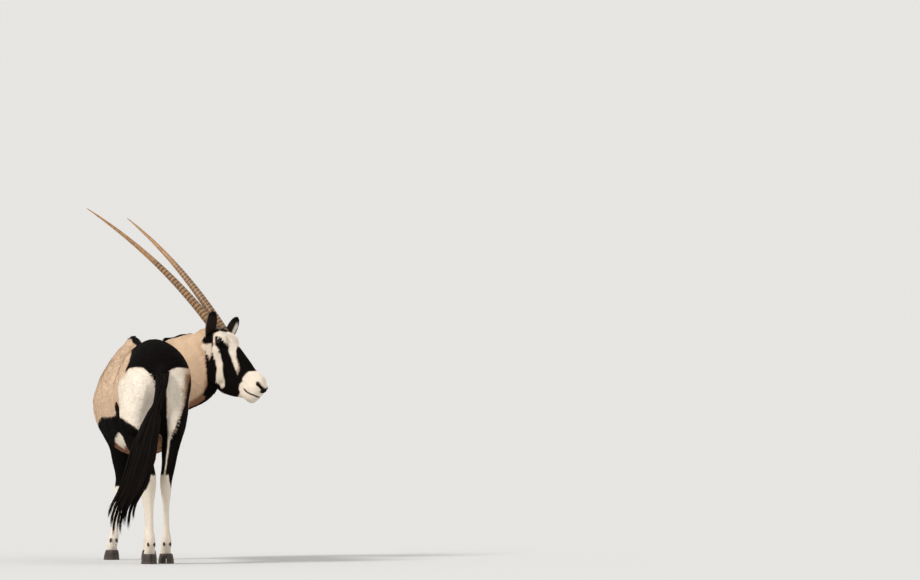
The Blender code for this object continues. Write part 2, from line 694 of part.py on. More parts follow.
def ear(name, side):
    """A leaf-shaped cup, open to the front and outwards."""
    root, tip = mirrored(EAR_ROOT[name], side), mirrored(EAR_TIP[name], side)
    along = (tip - root).normalized()
    facing = Vector(EAR_FACING[name])
    facing = (facing - along * facing.dot(along)).normalized()
    across = along.cross(facing).normalized()
    length = (tip - root).length
    rows, columns = 8, 6
    outer, inner = [], []
    for r in range(rows):
        t = r / (rows - 1)
        half = EAR_WIDTH / 2 * ear_outline(t)
        curl = EAR_DEPTH * (1.0 - 0.55 * t)
        for c in range(columns + 1):
            s = 2.0 * c / columns - 1.0
            bow = curl * (1.0 - s * s)
            middle = root + along * (t * length) + across * (s * half * (1.0 - 0.15 * bow / EAR_DEPTH))
            wall = EAR_WALL * (1.0 - 0.55 * abs(s)) * (1.0 - 0.5 * t)
            outer.append(middle - facing * (bow + wall / 2))
            inner.append(middle - facing * (bow - wall / 2))
    width = columns + 1
    total = rows * width
    faces = []
    for r in range(rows - 1):
        for c in range(columns):
            a = r * width + c
            quad = (a, a + 1, a + width + 1, a + width)
            faces += [(quad[0], quad[1], quad[2]), (quad[0], quad[2], quad[3])]
            faces += [tuple(total + i for i in (quad[0], quad[2], quad[1]))]
            faces += [tuple(total + i for i in (quad[0], quad[3], quad[2]))]
    rim = list(range(width))
    rim += [r * width + columns for r in range(1, rows)]
    rim += [(rows - 1) * width + c for c in range(columns - 1, -1, -1)]
    rim += [r * width for r in range(rows - 2, 0, -1)]
    for i, a in enumerate(rim):
        b = rim[(i + 1) % len(rim)]
        faces += [(a, b, total + b), (a, total + b, total + a)]
    cup = mesh_object(name, outer + inner, faces)
    cup.data.transform(head_matrix())
    turn_outwards(cup)
    return cup


def ear_outline(t):
    """Share of the ear's full width, from its narrow root to its pointed tip."""
    return max(0.42 + 1.05 * t - 0.35 * t * t, 0.0) * math.sqrt(max(1.0 - t**2.4, 0.004))


def horn_centre(t, side):
    """A place on the left (1) or right (-1) horn's axis, from root (0) to tip (1), in the head's axes."""
    root, length, rise, sag, spread, flare = HORNS[side]
    up = length * (rise * t - sag * t * t)
    out = spread * t + flare * t * t
    return Vector((root.x - length * t, side * (root.y + out), root.z + up))


def horn(name, side):
    """A long, slightly arched horn with rings on its lower half."""
    steps = [0.0]
    ring_step = HORN_RING_SHARE / HORN_RINGS
    for i in range(HORN_RINGS):
        steps += [0.02 + ring_step * (i + 0.30), 0.02 + ring_step * (i + 0.80)]
    steps += [0.62, 0.72, 0.82, 0.91, 0.97, 1.0]
    rings = []
    for k, t in enumerate(steps):
        radius = HORN_ROOT_RADIUS * (1.0 - t) ** 0.72 + HORN_TIP_RADIUS
        on_ring = 0 < k <= 2 * HORN_RINGS
        if on_ring:
            fade = 1.0 - 0.5 * t / HORN_RING_SHARE
            radius *= 1.0 + HORN_RING_HEIGHT * fade * (1.0 if k % 2 == 0 else -0.35)
        centre = horn_centre(t, side)
        along = (horn_centre(t + 0.01, side) - horn_centre(t - 0.01, side)).normalized()
        across = along.cross(Vector((0.0, 0.0, 1.0))).normalized()
        up = across.cross(along).normalized()
        rings.append(ring(centre, across, up, radius, radius, radius, count=HORN_SIDES))
    shaft = loft(name, rings)
    shaft.data.transform(head_matrix())
    turn_outwards(shaft)
    return shaft


def hoof(name, foot, toe_out):
    """A cloven hoof, flat below, pointed at the toe and rounded at the heel."""
    x, y, _ = foot
    rings = []
    for level, grow, shift in HOOF_LEVELS:
        points = []
        for i in range(HOOF_POINTS):
            turn = 2.0 * math.pi * i / HOOF_POINTS
            ahead, across = math.sin(turn), math.cos(turn)
            narrow = 1.0 - HOOF_TOE_TAPER * max(ahead, 0.0) ** 1.6
            points.append(
                Vector((
                    HOOF_HALF * grow * across * narrow,
                    HOOF_MIDDLE + shift + ahead * HOOF_LENGTH / 2 * grow,
                    level,
                ))
            )
        rings.append(points)
    shoe = loft(name, rings)
    shoe.data.transform(Matrix.Translation((x, y, 0.0)) @ Matrix.Rotation(toe_out, 4, "Z"))
    return shoe


def cleave(shoe, foot, toe_out):
    """Cuts the narrow cleft between a hoof's two claws, open to the toe."""
    x, y, _ = foot
    toe = HOOF_MIDDLE + HOOF_LENGTH / 2
    heel = HOOF_MIDDLE - 0.030
    cleft = [(-0.0004, heel), (0.0004, heel), (0.0032, toe + 0.01), (-0.0032, toe + 0.01)]
    points = [(px, py, -0.01) for px, py in cleft] + [(px, py + 0.024, CORONET + 0.01) for px, py in cleft]
    faces = [(0, 3, 2, 1), (4, 5, 6, 7), (0, 1, 5, 4), (1, 2, 6, 5), (2, 3, 7, 6), (3, 0, 4, 7)]
    wedge = mesh_object("cleft", points, faces)
    wedge.data.transform(Matrix.Translation((x, y, 0.0)) @ Matrix.Rotation(toe_out, 4, "Z"))
    boolean(shoe, wedge, "DIFFERENCE")


def lock(places, widths, across, thickness):
    """A flat tapered lock of hair along a bent path, with a lens-shaped section and a pointed tip."""
    rings = []
    for i, place in enumerate(places[:-1]):
        after = places[i + 1]
        before = places[max(i - 1, 0)]
        along = (after - before).normalized()
        side = (across - along * across.dot(along)).normalized()
        face = along.cross(side)
        half = widths[i] / 2
        thick = max(thickness * widths[i] / 2, 0.0006)
        rings.append([place + side * half, place + face * thick, place - side * half, place - face * thick])
    work = bmesh.new()
    loops = [[work.verts.new(point) for point in points] for points in rings]
    for near, far in zip(loops, loops[1:]):
        for i in range(4):
            j = (i + 1) % 4
            work.faces.new((near[i], near[j], far[j]))
            work.faces.new((near[i], far[j], far[i]))
    tip = work.verts.new(places[-1])
    for i in range(4):
        work.faces.new((loops[-1][i], loops[-1][(i + 1) % 4], tip))
    work.faces.new((loops[0][0], loops[0][1], loops[0][2]))
    work.faces.new((loops[0][0], loops[0][2], loops[0][3]))
    bmesh.ops.recalc_face_normals(work, faces=work.faces)
    mesh = bpy.data.meshes.new("lock")
    work.to_mesh(mesh)
    work.free()
    thing = bpy.data.objects.new("lock", mesh)
    bpy.context.scene.collection.objects.link(thing)
    return thing


def tuft_place(rows, t, out, depth):
    """A place in the tuft: t down its middle line, out across it and depth behind it, each -1 to 1."""
    k = t * (len(rows) - 1)
    i = min(int(k), len(rows) - 2)
    row = rows[i] + (rows[i + 1] - rows[i]) * (k - i)
    spread = row[3]
    back = row[1] + depth * spread * TUFT_THICKNESS
    return Vector((row[0] + out * spread, back, row[2] + 0.25 * out * spread))


def tail_cut(depth, half):
    """A block that starts across the dock, just behind the rump, and runs down along it."""
    place = Vector(DOCK[1][0])
    along = Vector(DOCK[2][0]) - place
    return slab_block("tail_cell", place, along, (0.0, 1.0, 0.0), depth, half, half)


def tail(name):
    """The dock with its tuft of long overlapping locks."""
    stations = [(place, radius, radius, radius, 2.0) for place, radius in DOCK]
    core = tube(name, stations, Vector((0.0, 1.0, 0.0)), count=10, steps=2)
    rows = smooth_rows([(*place, spread) for place, spread in TUFT])
    dice = random.Random(SEED)
    locks = []
    for i in range(TUFT_LOCKS):
        start = 0.02 + 0.30 * (i / TUFT_LOCKS) ** 1.2
        end = min(0.62 + 0.40 * dice.random() ** 0.7, 1.0) if i > 6 else 0.50 + 0.2 * dice.random()
        angle = 2.0 * math.pi * (i * 0.618 % 1.0)
        out, depth = math.cos(angle), math.sin(angle)
        wave = dice.uniform(-0.15, 0.15)
        steps = 6
        places, widths = [], []
        for k in range(steps):
            s = k / (steps - 1)
            t = start + (end - start) * s
            spread = 0.10 + 0.80 * min(s * 1.6, 1.0) + wave * math.sin(3.0 * s)
            places.append(tuft_place(rows, t, out * spread, depth * spread))
            widths.append((0.016 + 0.020 * math.sin(math.pi * min(s * 0.9 + 0.15, 1.0))) * (1.0 - 0.55 * s))
        places[0] = Vector(tuft_place(rows, start, 0.0, 0.0))
        locks.append(lock(places, widths, Vector((1.0, 0.15 * depth, 0.3)), 0.42))
    boolean(core, locks, "UNION")
    boolean(core, tail_cut(1.2, 0.8), "INTERSECT")
    core.data.transform(Matrix.Translation((Vector(DOCK[2][0]) - Vector(DOCK[1][0])).normalized() * GAP))
    return core


def crest_path():
    """Places along the top of the neck, from the withers to the poll, with the way up at each."""
    rows = smooth_rows([(*place, *sizes) for place, *sizes in NECK])
    path = []
    for i in range(1, len(rows) - 4):
        here, after, before = (Vector(rows[j][:3]) for j in (i, i + 1, i - 1))
        along = (after - before).normalized()
        side = along.cross(Vector((0.0, 0.0, 1.0))).normalized()
        up = side.cross(along)
        path.append((here + up * rows[i][4], up, along))
    return path


def mane_locks():
    """Short overlapping locks along the crest, leaning back towards the withers."""
    dice = random.Random(SEED + 1)
    path = crest_path()
    start = Vector((0.0, 0.745, 1.066))
    path = [(start, Vector((0.0, 0.0, 1.0)), Vector((0.0, 1.0, 0.0)))] + path
    locks = []
    for i in range(MANE_LOCKS):
        k = (i + 0.5) / MANE_LOCKS * (len(path) - 1)
        j = min(int(k), len(path) - 2)
        place = path[j][0].lerp(path[j + 1][0], k - j)
        up, along = path[j][1], path[j][2]
        side = along.cross(up)
        sway = side * dice.uniform(-0.006, 0.006)
        size = MANE_LENGTH * dice.uniform(0.85, 1.15)
        root = place - up * 0.014 + sway * 0.5
        bend = root + up * size * 0.55 - along * size * 0.25
        tip = root + up * size * 0.75 - along * size * 0.85 + sway
        widths = (MANE_WIDTH * 0.9, MANE_WIDTH, 0.0)
        locks.append(((root, bend, tip), lock([root, bend, tip], widths, side, MANE_THICKNESS / MANE_WIDTH)))
    return locks


def sort_mane(locks):
    """The locks that stand clear of the neck's cut, by the piece they grow from."""
    cut = Vector(NECK_CUT_PLACE)
    axis = Vector(NECK_CUT_AXIS).normalized()
    head_cut, head_axis, _ = head_cut_plane()
    sorted_locks = {"torso": [], "neck": []}
    for places, tuft in locks:
        beyond = [(place - cut).dot(axis) for place in places]
        near_head = max((place - head_cut).dot(head_axis) for place in places) > -MANE_CLEAR
        if max(beyond) < -MANE_CLEAR:
            sorted_locks["torso"].append(tuft)
        elif min(beyond) > MANE_CLEAR and not near_head:
            sorted_locks["neck"].append(tuft)
        else:
            bpy.data.objects.remove(tuft, do_unlink=True)
    return sorted_locks


def leg_cell(end, side, grow=0.0):
    """The block of space that holds one leg, its walls moved outwards by grow."""
    y_range, level, slope_out, slope_forward = LEG_CELLS[end]
    x_range = sorted((side * (LEG_SLIT - grow), side * LEG_CELL_REACH))
    y_range = (y_range[0] - grow, y_range[1] + grow)
    return prism_below("cell", x_range, y_range, level + 1.6 * grow, side * slope_out, slope_forward)


def neck_cell(shift):
    """A block that holds the neck and all beyond it."""
    place = Vector(NECK_CUT_PLACE) - Vector(NECK_CUT_AXIS).normalized() * shift
    return slab_block("cell", place, NECK_CUT_AXIS, (0.0, 0.0, 1.0), 0.6, 0.40, 0.5)


def part_body(body):
    """Cuts the melted body into torso, neck and legs and returns them by name."""
    made = {"torso": copy_of(body, "torso"), "neck": copy_of(body, "neck")}
    for name, side in (("left", -1), ("right", 1)):
        for end in LEG_CELLS:
            piece = copy_of(body, f"{end}_leg_{name}")
            boolean(piece, leg_cell(end, side), "INTERSECT")
            made[piece.name] = piece
            boolean(made["torso"], leg_cell(end, side, GAP), "DIFFERENCE")
    boolean(made["neck"], neck_cell(0.0), "INTERSECT")
    boolean(made["torso"], neck_cell(GAP), "DIFFERENCE")
    boolean(made["neck"], head_cut_block(GAP), "DIFFERENCE")
    bpy.data.objects.remove(body, do_unlink=True)
    return made


def head_cut_plane():
    """The plane behind the poll and the throat: a place on it, its axis to the head, and its way up."""
    place = head_matrix()
    axis = place.to_3x3() @ Vector((math.cos(HEAD_CUT_SLANT), 0.0, math.sin(HEAD_CUT_SLANT)))
    up = place.to_3x3() @ Vector((-math.sin(HEAD_CUT_SLANT), 0.0, math.cos(HEAD_CUT_SLANT)))
    return place @ Vector(HEAD_CUT_PLACE), axis, up


def head_cut_block(shift):
    """A block that holds the head, from the cut's plane forward."""
    place, axis, up = head_cut_plane()
    return slab_block("head_cell", place - axis * shift, axis, up, 0.60, 0.30, 0.30)


def colour(thing, material):
    thing.data.materials.clear()
    thing.data.materials.append(material)
    thing.data.shade_flat()


def settle_on_floor(things):
    """Moves every piece so that the middle of the footprint lies at the origin."""
    low = Vector((math.inf,) * 3)
    high = Vector((-math.inf,) * 3)
    for thing in things:
        for vertex in thing.data.vertices:
            for k in range(3):
                low[k] = min(low[k], vertex.co[k])
                high[k] = max(high[k], vertex.co[k])
    shift = Vector((-(low.x + high.x) / 2, -(low.y + high.y) / 2, -low.z))
    for thing in things:
        thing.data.transform(Matrix.Translation(shift))


def build():
    clear_scene()
    materials = make_materials()

    forms = torso_forms() + leg_forms() + neck_forms() + head_forms()
    body = blend_forms("body", forms, BODY_VOXEL, 4, 26, 0.47)
    boolean(body, head_cut_block(-ROUGH_CUT), "DIFFERENCE")
    thin_out(body, BODY_TRIANGLES)
    head = blend_forms("head", head_forms() + neck_forms(), HEAD_VOXEL, 12)
    boolean(head, head_cut_block(ROUGH_CUT), "INTERSECT")
    thin_out(head, HEAD_TRIANGLES)
    boolean(head, head_cut_block(0.0), "INTERSECT")

    pieces = part_body(body)
    pieces["head"] = head

    for name, side in (("left", 1), ("right", -1)):
        boolean(head, lid_cutter(side), "DIFFERENCE")
        boolean(head, eyeball("socket", side, GAP), "DIFFERENCE")
        boolean(head, mouth_cutter(side), "DIFFERENCE")
        boolean(head, nostril_cutter(side), "DIFFERENCE")
    for name, side in (("left", 1), ("right", -1)):
        pieces["eye_" + name] = eyeball("eye_" + name, side)
        pieces["ear_" + name] = ear("ear_" + name, side)
        pieces["horn_" + name] = horn("horn_" + name, side)
        fit_against(pieces["ear_" + name], head)
        fit_against(pieces["horn_" + name], head)

    for name, side in (("left", 1), ("right", -1)):
        for end, feet in (("fore", FORE_FEET), ("hind", HIND_FEET)):
            shoe = hoof(f"{end}_hoof_{name}", feet[name], side * HOOF_TOE_OUT)
            pieces[shoe.name] = shoe
            fit_against(pieces[f"{end}_leg_{name}"], shoe)
            cleave(shoe, feet[name], side * HOOF_TOE_OUT)

    boolean(pieces["torso"], tail_cut(TAIL_SOCKET, TAIL_SOCKET), "DIFFERENCE")
    pieces["tail"] = tail("tail")

    for name, tufts in sort_mane(mane_locks()).items():
        boolean(pieces[name], tufts, "UNION")

    looks = {"torso": "coat", "neck": "coat", "head": "white_coat", "tail": "dark_coat"}
    for name, thing in pieces.items():
        kind = name.split("_")[0]
        finish = looks.get(name) or {"eye": "eye", "ear": "dark_coat", "horn": "horn"}.get(kind)
        finish = finish or ("hoof" if "hoof" in name else "white_coat")
        thing.name = name
        thing.data.name = name
        colour(thing, materials[finish])
    settle_on_floor(list(pieces.values()))


build()
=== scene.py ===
"""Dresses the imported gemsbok: a skin with its markings, a coat of tufts, horns, eyes, ears and hooves."""

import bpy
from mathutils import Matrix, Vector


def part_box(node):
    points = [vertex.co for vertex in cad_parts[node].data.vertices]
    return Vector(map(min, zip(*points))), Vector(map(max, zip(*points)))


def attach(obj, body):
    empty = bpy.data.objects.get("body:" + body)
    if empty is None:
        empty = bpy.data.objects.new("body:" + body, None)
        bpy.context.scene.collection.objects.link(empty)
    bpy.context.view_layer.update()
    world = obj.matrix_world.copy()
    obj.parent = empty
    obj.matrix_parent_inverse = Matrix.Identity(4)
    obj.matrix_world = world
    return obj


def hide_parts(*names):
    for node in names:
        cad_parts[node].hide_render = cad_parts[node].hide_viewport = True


bl_info = {
    "name": "Gemsbok Looks",
    "version": (1, 0, 0),
    "blender": (4, 5, 0),
    "location": "View3D > Sidebar > Gemsbok",
    "description": "Builds the skin, coat, horns, eyes, ears, hooves, mane and tail of a life-size gemsbok",
    "category": "Object",
}

import math
from contextlib import contextmanager

import bmesh
import bpy
import numpy as np
from mathutils import Matrix, Vector
from mathutils.bvhtree import BVHTree

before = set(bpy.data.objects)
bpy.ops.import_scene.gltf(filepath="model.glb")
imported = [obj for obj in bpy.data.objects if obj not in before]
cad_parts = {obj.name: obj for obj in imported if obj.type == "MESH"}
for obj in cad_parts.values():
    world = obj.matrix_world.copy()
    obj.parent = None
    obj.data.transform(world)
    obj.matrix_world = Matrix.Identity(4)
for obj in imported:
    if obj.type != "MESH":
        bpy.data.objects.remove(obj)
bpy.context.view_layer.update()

# Fineness of the skin, in metres
SKIN_VOXEL = 0.0070
HEAD_VOXEL = 0.0038
SKIN_ROUNDS = 5
SKIN_ROUNDS_ABOVE = 30
ROUNDS_LEVEL = 0.47
HEAD_ROUNDS = 12
RING_POINTS = 28
STEPS_BETWEEN_STATIONS = 4
EASE_FADE = 0.08

# The forms below repeat those of the solids, in metres. X is to the animal's right, Y forward and Z up.
# The torso: place of each section's widest level, half width, rise, drop and fullness
TORSO = (
    ((0.0, -0.074, 0.885), 0.060, 0.050, 0.060, 2.0),
    ((0.0, -0.045, 0.885), 0.112, 0.112, 0.120, 2.0),
    ((0.0, 0.020, 0.880), 0.148, 0.163, 0.190, 1.9),
    ((0.0, 0.100, 0.865), 0.168, 0.198, 0.225, 1.8),
    ((0.0, 0.220, 0.840), 0.178, 0.226, 0.260, 1.75),
    ((0.0, 0.360, 0.790), 0.200, 0.262, 0.270, 1.60),
    ((0.0, 0.500, 0.768), 0.221, 0.274, 0.268, 1.50),
    ((0.0, 0.640, 0.760), 0.224, 0.288, 0.258, 1.45),
    ((0.0, 0.760, 0.766), 0.203, 0.288, 0.248, 1.45),
    ((0.0, 0.860, 0.785), 0.170, 0.265, 0.247, 1.55),
    ((0.0, 0.950, 0.795), 0.146, 0.225, 0.220, 1.75),
    ((0.0, 1.030, 0.790), 0.120, 0.150, 0.165, 2.0),
    ((0.0, 1.075, 0.785), 0.060, 0.070, 0.085, 2.0),
)
NECK = (
    ((0.000, 0.800, 0.835), 0.140, 0.200, 0.250, 1.8),
    ((0.045, 0.935, 0.848), 0.135, 0.192, 0.220, 1.8),
    ((0.135, 1.030, 0.865), 0.120, 0.180, 0.200, 1.8),
    ((0.230, 1.048, 0.892), 0.108, 0.160, 0.196, 1.8),
    ((0.307, 1.036, 0.938), 0.096, 0.163, 0.194, 1.8),
    ((0.356, 1.014, 0.993), 0.080, 0.127, 0.124, 1.9),
    ((0.382, 0.998, 1.028), 0.066, 0.094, 0.080, 2.0),
)

# The head has axes of its own: forward to the nose, left, and up through the brow
HEAD_PLACE = Vector((0.4643, 0.930, 1.028))
HEAD_YAW = math.radians(130.8)
HEAD_PITCH = math.radians(41.5)
HEAD_ROLL = math.radians(3.9)
# Sections of the head: distance forward, widest level, half width, rise, drop, fullness above and below
HEAD = (
    (-0.150, -0.078, 0.044, 0.050, 0.052, 2.0, 2.0),
    (-0.125, -0.070, 0.064, 0.075, 0.084, 2.0, 2.0),
    (-0.085, -0.060, 0.073, 0.088, 0.106, 2.1, 1.9),
    (-0.040, -0.042, 0.076, 0.084, 0.132, 2.2, 1.8),
    (0.010, -0.028, 0.074, 0.074, 0.152, 2.2, 1.7),
    (0.060, -0.036, 0.066, 0.078, 0.149, 2.1, 1.6),
    (0.110, -0.046, 0.056, 0.083, 0.138, 2.1, 1.6),
    (0.160, -0.052, 0.047, 0.083, 0.121, 2.1, 1.7),
    (0.200, -0.054, 0.043, 0.078, 0.100, 2.2, 1.8),
    (0.235, -0.052, 0.041, 0.080, 0.077, 2.3, 2.0),
    (0.265, -0.050, 0.040, 0.079, 0.066, 2.3, 2.1),
    (0.288, -0.050, 0.036, 0.066, 0.060, 2.2, 2.1),
    (0.303, -0.052, 0.028, 0.047, 0.048, 2.0, 2.0),
    (0.312, -0.055, 0.014, 0.024, 0.030, 2.0, 2.0),
)
# Rounded forms on the head, each on both sides: place and radii
HEAD_BLOBS = (
    ((-0.014, 0.0560, 0.015), (0.046, 0.0290, 0.036)),
    ((-0.024, 0.040, 0.024), (0.048, 0.031, 0.025)),
    ((-0.060, 0.036, 0.018), (0.034, 0.029, 0.030)),
    ((-0.060, 0.058, -0.022), (0.034, 0.022, 0.034)),
    ((0.045, 0.036, -0.085), (0.095, 0.029, 0.090)),
    ((0.040, 0.050, -0.018), (0.085, 0.014, 0.022)),
    ((0.262, 0.017, -0.044), (0.046, 0.028, 0.031)),
    ((0.284, 0.018, -0.015), (0.030, 0.018, 0.022)),
    ((0.258, 0.013, -0.087), (0.046, 0.025, 0.027)),
)
CHIN = ((0.274, 0.0, -0.092), (0.037, 0.027, 0.025))

# Eyes, mouth and nostrils, on the left side of the head's axes
EYE_PLACE = Vector((-0.012, 0.0625, 0.017))
EYE_RADIUS = 0.0200
LID_OPENING = (0.0140, 0.0100)
LID_SLANT = math.radians(-18.0)
MOUTH_LINE = ((0.236, -0.074), (0.260, -0.0745), (0.280, -0.069), (0.298, -0.062), (0.322, -0.0575))
MOUTH_DEPTH = 0.0050
MOUTH_WIDTH = 0.0042
NOSTRIL_LINE = ((0.277, 0.0365, -0.007), (0.299, 0.0300, -0.008), (0.311, 0.014, -0.018))
NOSTRIL_DEPTH = 0.0090
NOSTRIL_RADIUS = 0.0060

# Ears: root, tip and the way each cup faces
EAR_ROOT = {"ear_left": Vector((-0.037, 0.077, -0.036)), "ear_right": Vector((-0.056, 0.062, -0.022))}
EAR_TIP = {"ear_left": Vector((-0.093, 0.117, 0.104)), "ear_right": Vector((-0.113, 0.108, 0.110))}
EAR_FACING = {"ear_left": (0.80, -0.55, 0.0), "ear_right": (0.90, -0.42, 0.0)}
EAR_WIDTH = 0.076
EAR_DEPTH = 0.017
EAR_WALL = 0.0034

# Horns, left (1) and right (-1): root, length, first rise and later sag of the arch, spread and flare
HORNS = {
    1: (Vector((-0.055, 0.0400, 0.0250)), 0.857, 0.182, 0.190, 0.079, 0.083),
    -1: (Vector((-0.056, 0.0320, 0.0250)), 0.885, 0.159, 0.151, 0.054, 0.092),
}
HORN_ROOT_RADIUS = 0.0200
HORN_TIP_RADIUS = 0.0022
HORN_RING_SHARE = 0.55

# Legs: where each foot stands and how far out its knee or hock is
FORE_FEET = {"left": (-0.088, 0.890, -0.047), "right": (0.088, 0.890, 0.070)}
HIND_FEET = {"left": (-0.041, 0.040, -0.047), "right": (0.048, 0.120, 0.041)}
THIGHS = {"left": (0.104, 0.070), "right": (0.086, 0.062)}
FETLOCK = 0.110
KNEE = 0.345
HOCK = 0.395
CORONET = 0.046
HOOF_LENGTH = 0.092
HOOF_HALF = 0.038
HOOF_MIDDLE = 0.024
HOOF_TOE_TAPER = 0.45
HOOF_TOE_OUT = math.radians(8.0)

# The tail: the dock's path with its radii
DOCK = (
    ((0.000, -0.050, 0.925), 0.028),
    ((-0.004, -0.096, 0.900), 0.027),
    ((-0.012, -0.116, 0.845), 0.023),
    ((-0.028, -0.120, 0.770), 0.019),
    ((-0.046, -0.122, 0.700), 0.015),
    ((-0.066, -0.124, 0.640), 0.010),
)
TAIL_THICKNESS = 0.55

# How far the skin lies inside the solids, under the coat
COAT_DEPTH = 0.0028
FACE_COAT_DEPTH = 0.0010

# The camera: far away, low, behind the animal and to its left
CAMERA_DISTANCE = 70.0
CAMERA_HEIGHT = 1.70
CAMERA_SIDE = math.radians(9.0)
CAMERA_AIM = (math.radians(10.226), math.radians(0.332))
PICTURE_WIDTH_AT_ANIMAL = 4.379
SENSOR = 36.0


UP = Vector((0.0, 0.0, 1.0))
FORWARD = Vector((0.0, 1.0, 0.0))
# The sides of the body, and those of the head, by their signs in the body's and in the head's axes
SIDES = (("left", -1), ("right", 1))
HEAD_SIDES = (("left", 1), ("right", -1))


# Helpers for objects and forms

def linked(name, data):
    """A new object in the scene that holds some data."""
    thing = bpy.data.objects.new(name, data)
    bpy.context.scene.collection.objects.link(thing)
    return thing


def object_of(name, work):
    """A new object from an open mesh, which this closes."""
    mesh = bpy.data.meshes.new(name)
    work.to_mesh(mesh)
    work.free()
    return linked(name, mesh)


@contextmanager
def opened(thing):
    """An object's mesh, open for changes to its faces and then written back."""
    work = bmesh.new()
    work.from_mesh(thing.data)
    yield work
    work.to_mesh(thing.data)
    work.free()


def mesh_object(name, points, faces):
    """A new object from points and faces, with its faces turned outwards."""
    mesh = bpy.data.meshes.new(name)
    mesh.from_pydata([tuple(point) for point in points], [], faces)
    return turn_outwards(linked(name, mesh))


def turn_outwards(thing):
    """Turns the faces of a closed mesh outwards."""
    with opened(thing) as work:
        bmesh.ops.recalc_face_normals(work, faces=work.faces)
    return thing


def close_and_split(thing):
    """Triangles only, turned outwards and shaded smooth."""
    with opened(thing) as work:
        bmesh.ops.triangulate(work, faces=work.faces)
        bmesh.ops.recalc_face_normals(work, faces=work.faces)
    thing.data.shade_smooth()


def loft(name, rings):
    """A closed skin through rings of equal count, its ends closed by fans."""
    count = len(rings[0])
    points = [point for ring_points in rings for point in ring_points]
    faces = []
    for k in range(len(rings) - 1):
        for i in range(count):
            j = (i + 1) % count
            faces.append((k * count + i, k * count + j, (k + 1) * count + j, (k + 1) * count + i))
    for k in (0, len(rings) - 1):
        middle = len(points)
        points.append(sum((Vector(point) for point in rings[k]), Vector()) / count)
        for i in range(count):
            faces.append((k * count + i, k * count + (i + 1) % count, middle))
    return mesh_object(name, points, faces)


def ring(centre, side, up, half, rise, drop, above=2.0, below=2.0, count=RING_POINTS):
    """A rounded section: half width to each side, rise above and drop below its widest level."""
    points = []
    for i in range(count):
        turn = 2.0 * math.pi * i / count
        across, along = math.cos(turn), math.sin(turn)
        power = above if along >= 0.0 else below
        reach = rise if along >= 0.0 else drop
        x = half * math.copysign(abs(across) ** (2.0 / power), across)
        y = reach * math.copysign(abs(along) ** (2.0 / power), along)
        points.append(centre + side * x + up * y)
    return points


def smooth_rows(rows, steps=STEPS_BETWEEN_STATIONS):
    """Rows of numbers with smooth in-between rows, through every given row."""
    rows = np.array(rows, dtype=float)
    ends = np.vstack([2 * rows[0] - rows[1], rows, 2 * rows[-1] - rows[-2]])
    out = []
    for k in range(1, len(ends) - 2):
        a, b, c, d = ends[k - 1 : k + 3]
        for step in range(steps):
            t = step / steps
            slope = (c - a) * t
            bend = (2 * a - 5 * b + 4 * c - d) * t**2
            out.append(0.5 * (2 * b + slope + bend + (3 * b - a - 3 * c + d) * t**3))
    out.append(rows[-1])
    return np.array(out)


def tube(name, stations, up, count=RING_POINTS, steps=STEPS_BETWEEN_STATIONS, sections_across=None):
    """A loft along a path. A station holds its place, half width, rise, drop and fullness."""
    rows = smooth_rows([(*place, *sizes) for place, *sizes in stations], steps)
    places = [Vector(row[:3]) for row in rows]
    rings = []
    for i, row in enumerate(rows):
        before = places[max(i - 1, 0)]
        after = places[min(i + 1, len(places) - 1)]
        along = sections_across or (after - before).normalized()
        side = along.cross(up).normalized()
        rise_way = side.cross(along).normalized()
        half, rise, drop, above = row[3:7]
        rings.append(ring(places[i], side, rise_way, half, rise, drop, above, 2.0, count))
    return loft(name, rings)


def blob(name, centre, radii, finer=3):
    """An ellipsoid of three radii."""
    work = bmesh.new()
    place = Matrix.Translation(centre) @ Matrix.Diagonal((*radii, 1.0))
    bmesh.ops.create_icosphere(work, subdivisions=finer, radius=1.0, matrix=place)
    return object_of(name, work)


def bake(thing):
    """Replaces an object's mesh by what its modifiers make of it."""
    graph = bpy.context.evaluated_depsgraph_get()
    graph.update()
    mesh = bpy.data.meshes.new_from_object(thing.evaluated_get(graph))
    thing.modifiers.clear()
    thing.data = mesh


def join(name, things):
    """One object that holds the meshes of several."""
    work = bmesh.new()
    for thing in things:
        work.from_mesh(thing.data)
        bpy.data.objects.remove(thing, do_unlink=True)
    return object_of(name, work)


def ease(thing, rounds, group=None):
    """Smooths a mesh, or the part of it that a vertex group holds."""
    smooth = thing.modifiers.new("ease", "SMOOTH")
    smooth.factor = 0.5
    smooth.iterations = rounds
    if group:
        smooth.vertex_group = group.name
    bake(thing)
    thing.vertex_groups.clear()


def blend_forms(name, things, voxel, rounds, more_rounds=0, above=0.0):
    """Melts overlapping closed forms into one skin and eases the creases, more so above a level."""
    joined = join(name, things)
    remesh = joined.modifiers.new("melt", "REMESH")
    remesh.mode = "VOXEL"
    remesh.voxel_size = voxel
    ease(joined, rounds)
    if more_rounds:
        broad = joined.vertex_groups.new(name="broad")
        for vertex in joined.data.vertices:
            share = min(max((vertex.co.z - above) / EASE_FADE, 0.0), 1.0)
            if share > 0.0:
                broad.add([vertex.index], share, "REPLACE")
        ease(joined, more_rounds, broad)
    return joined


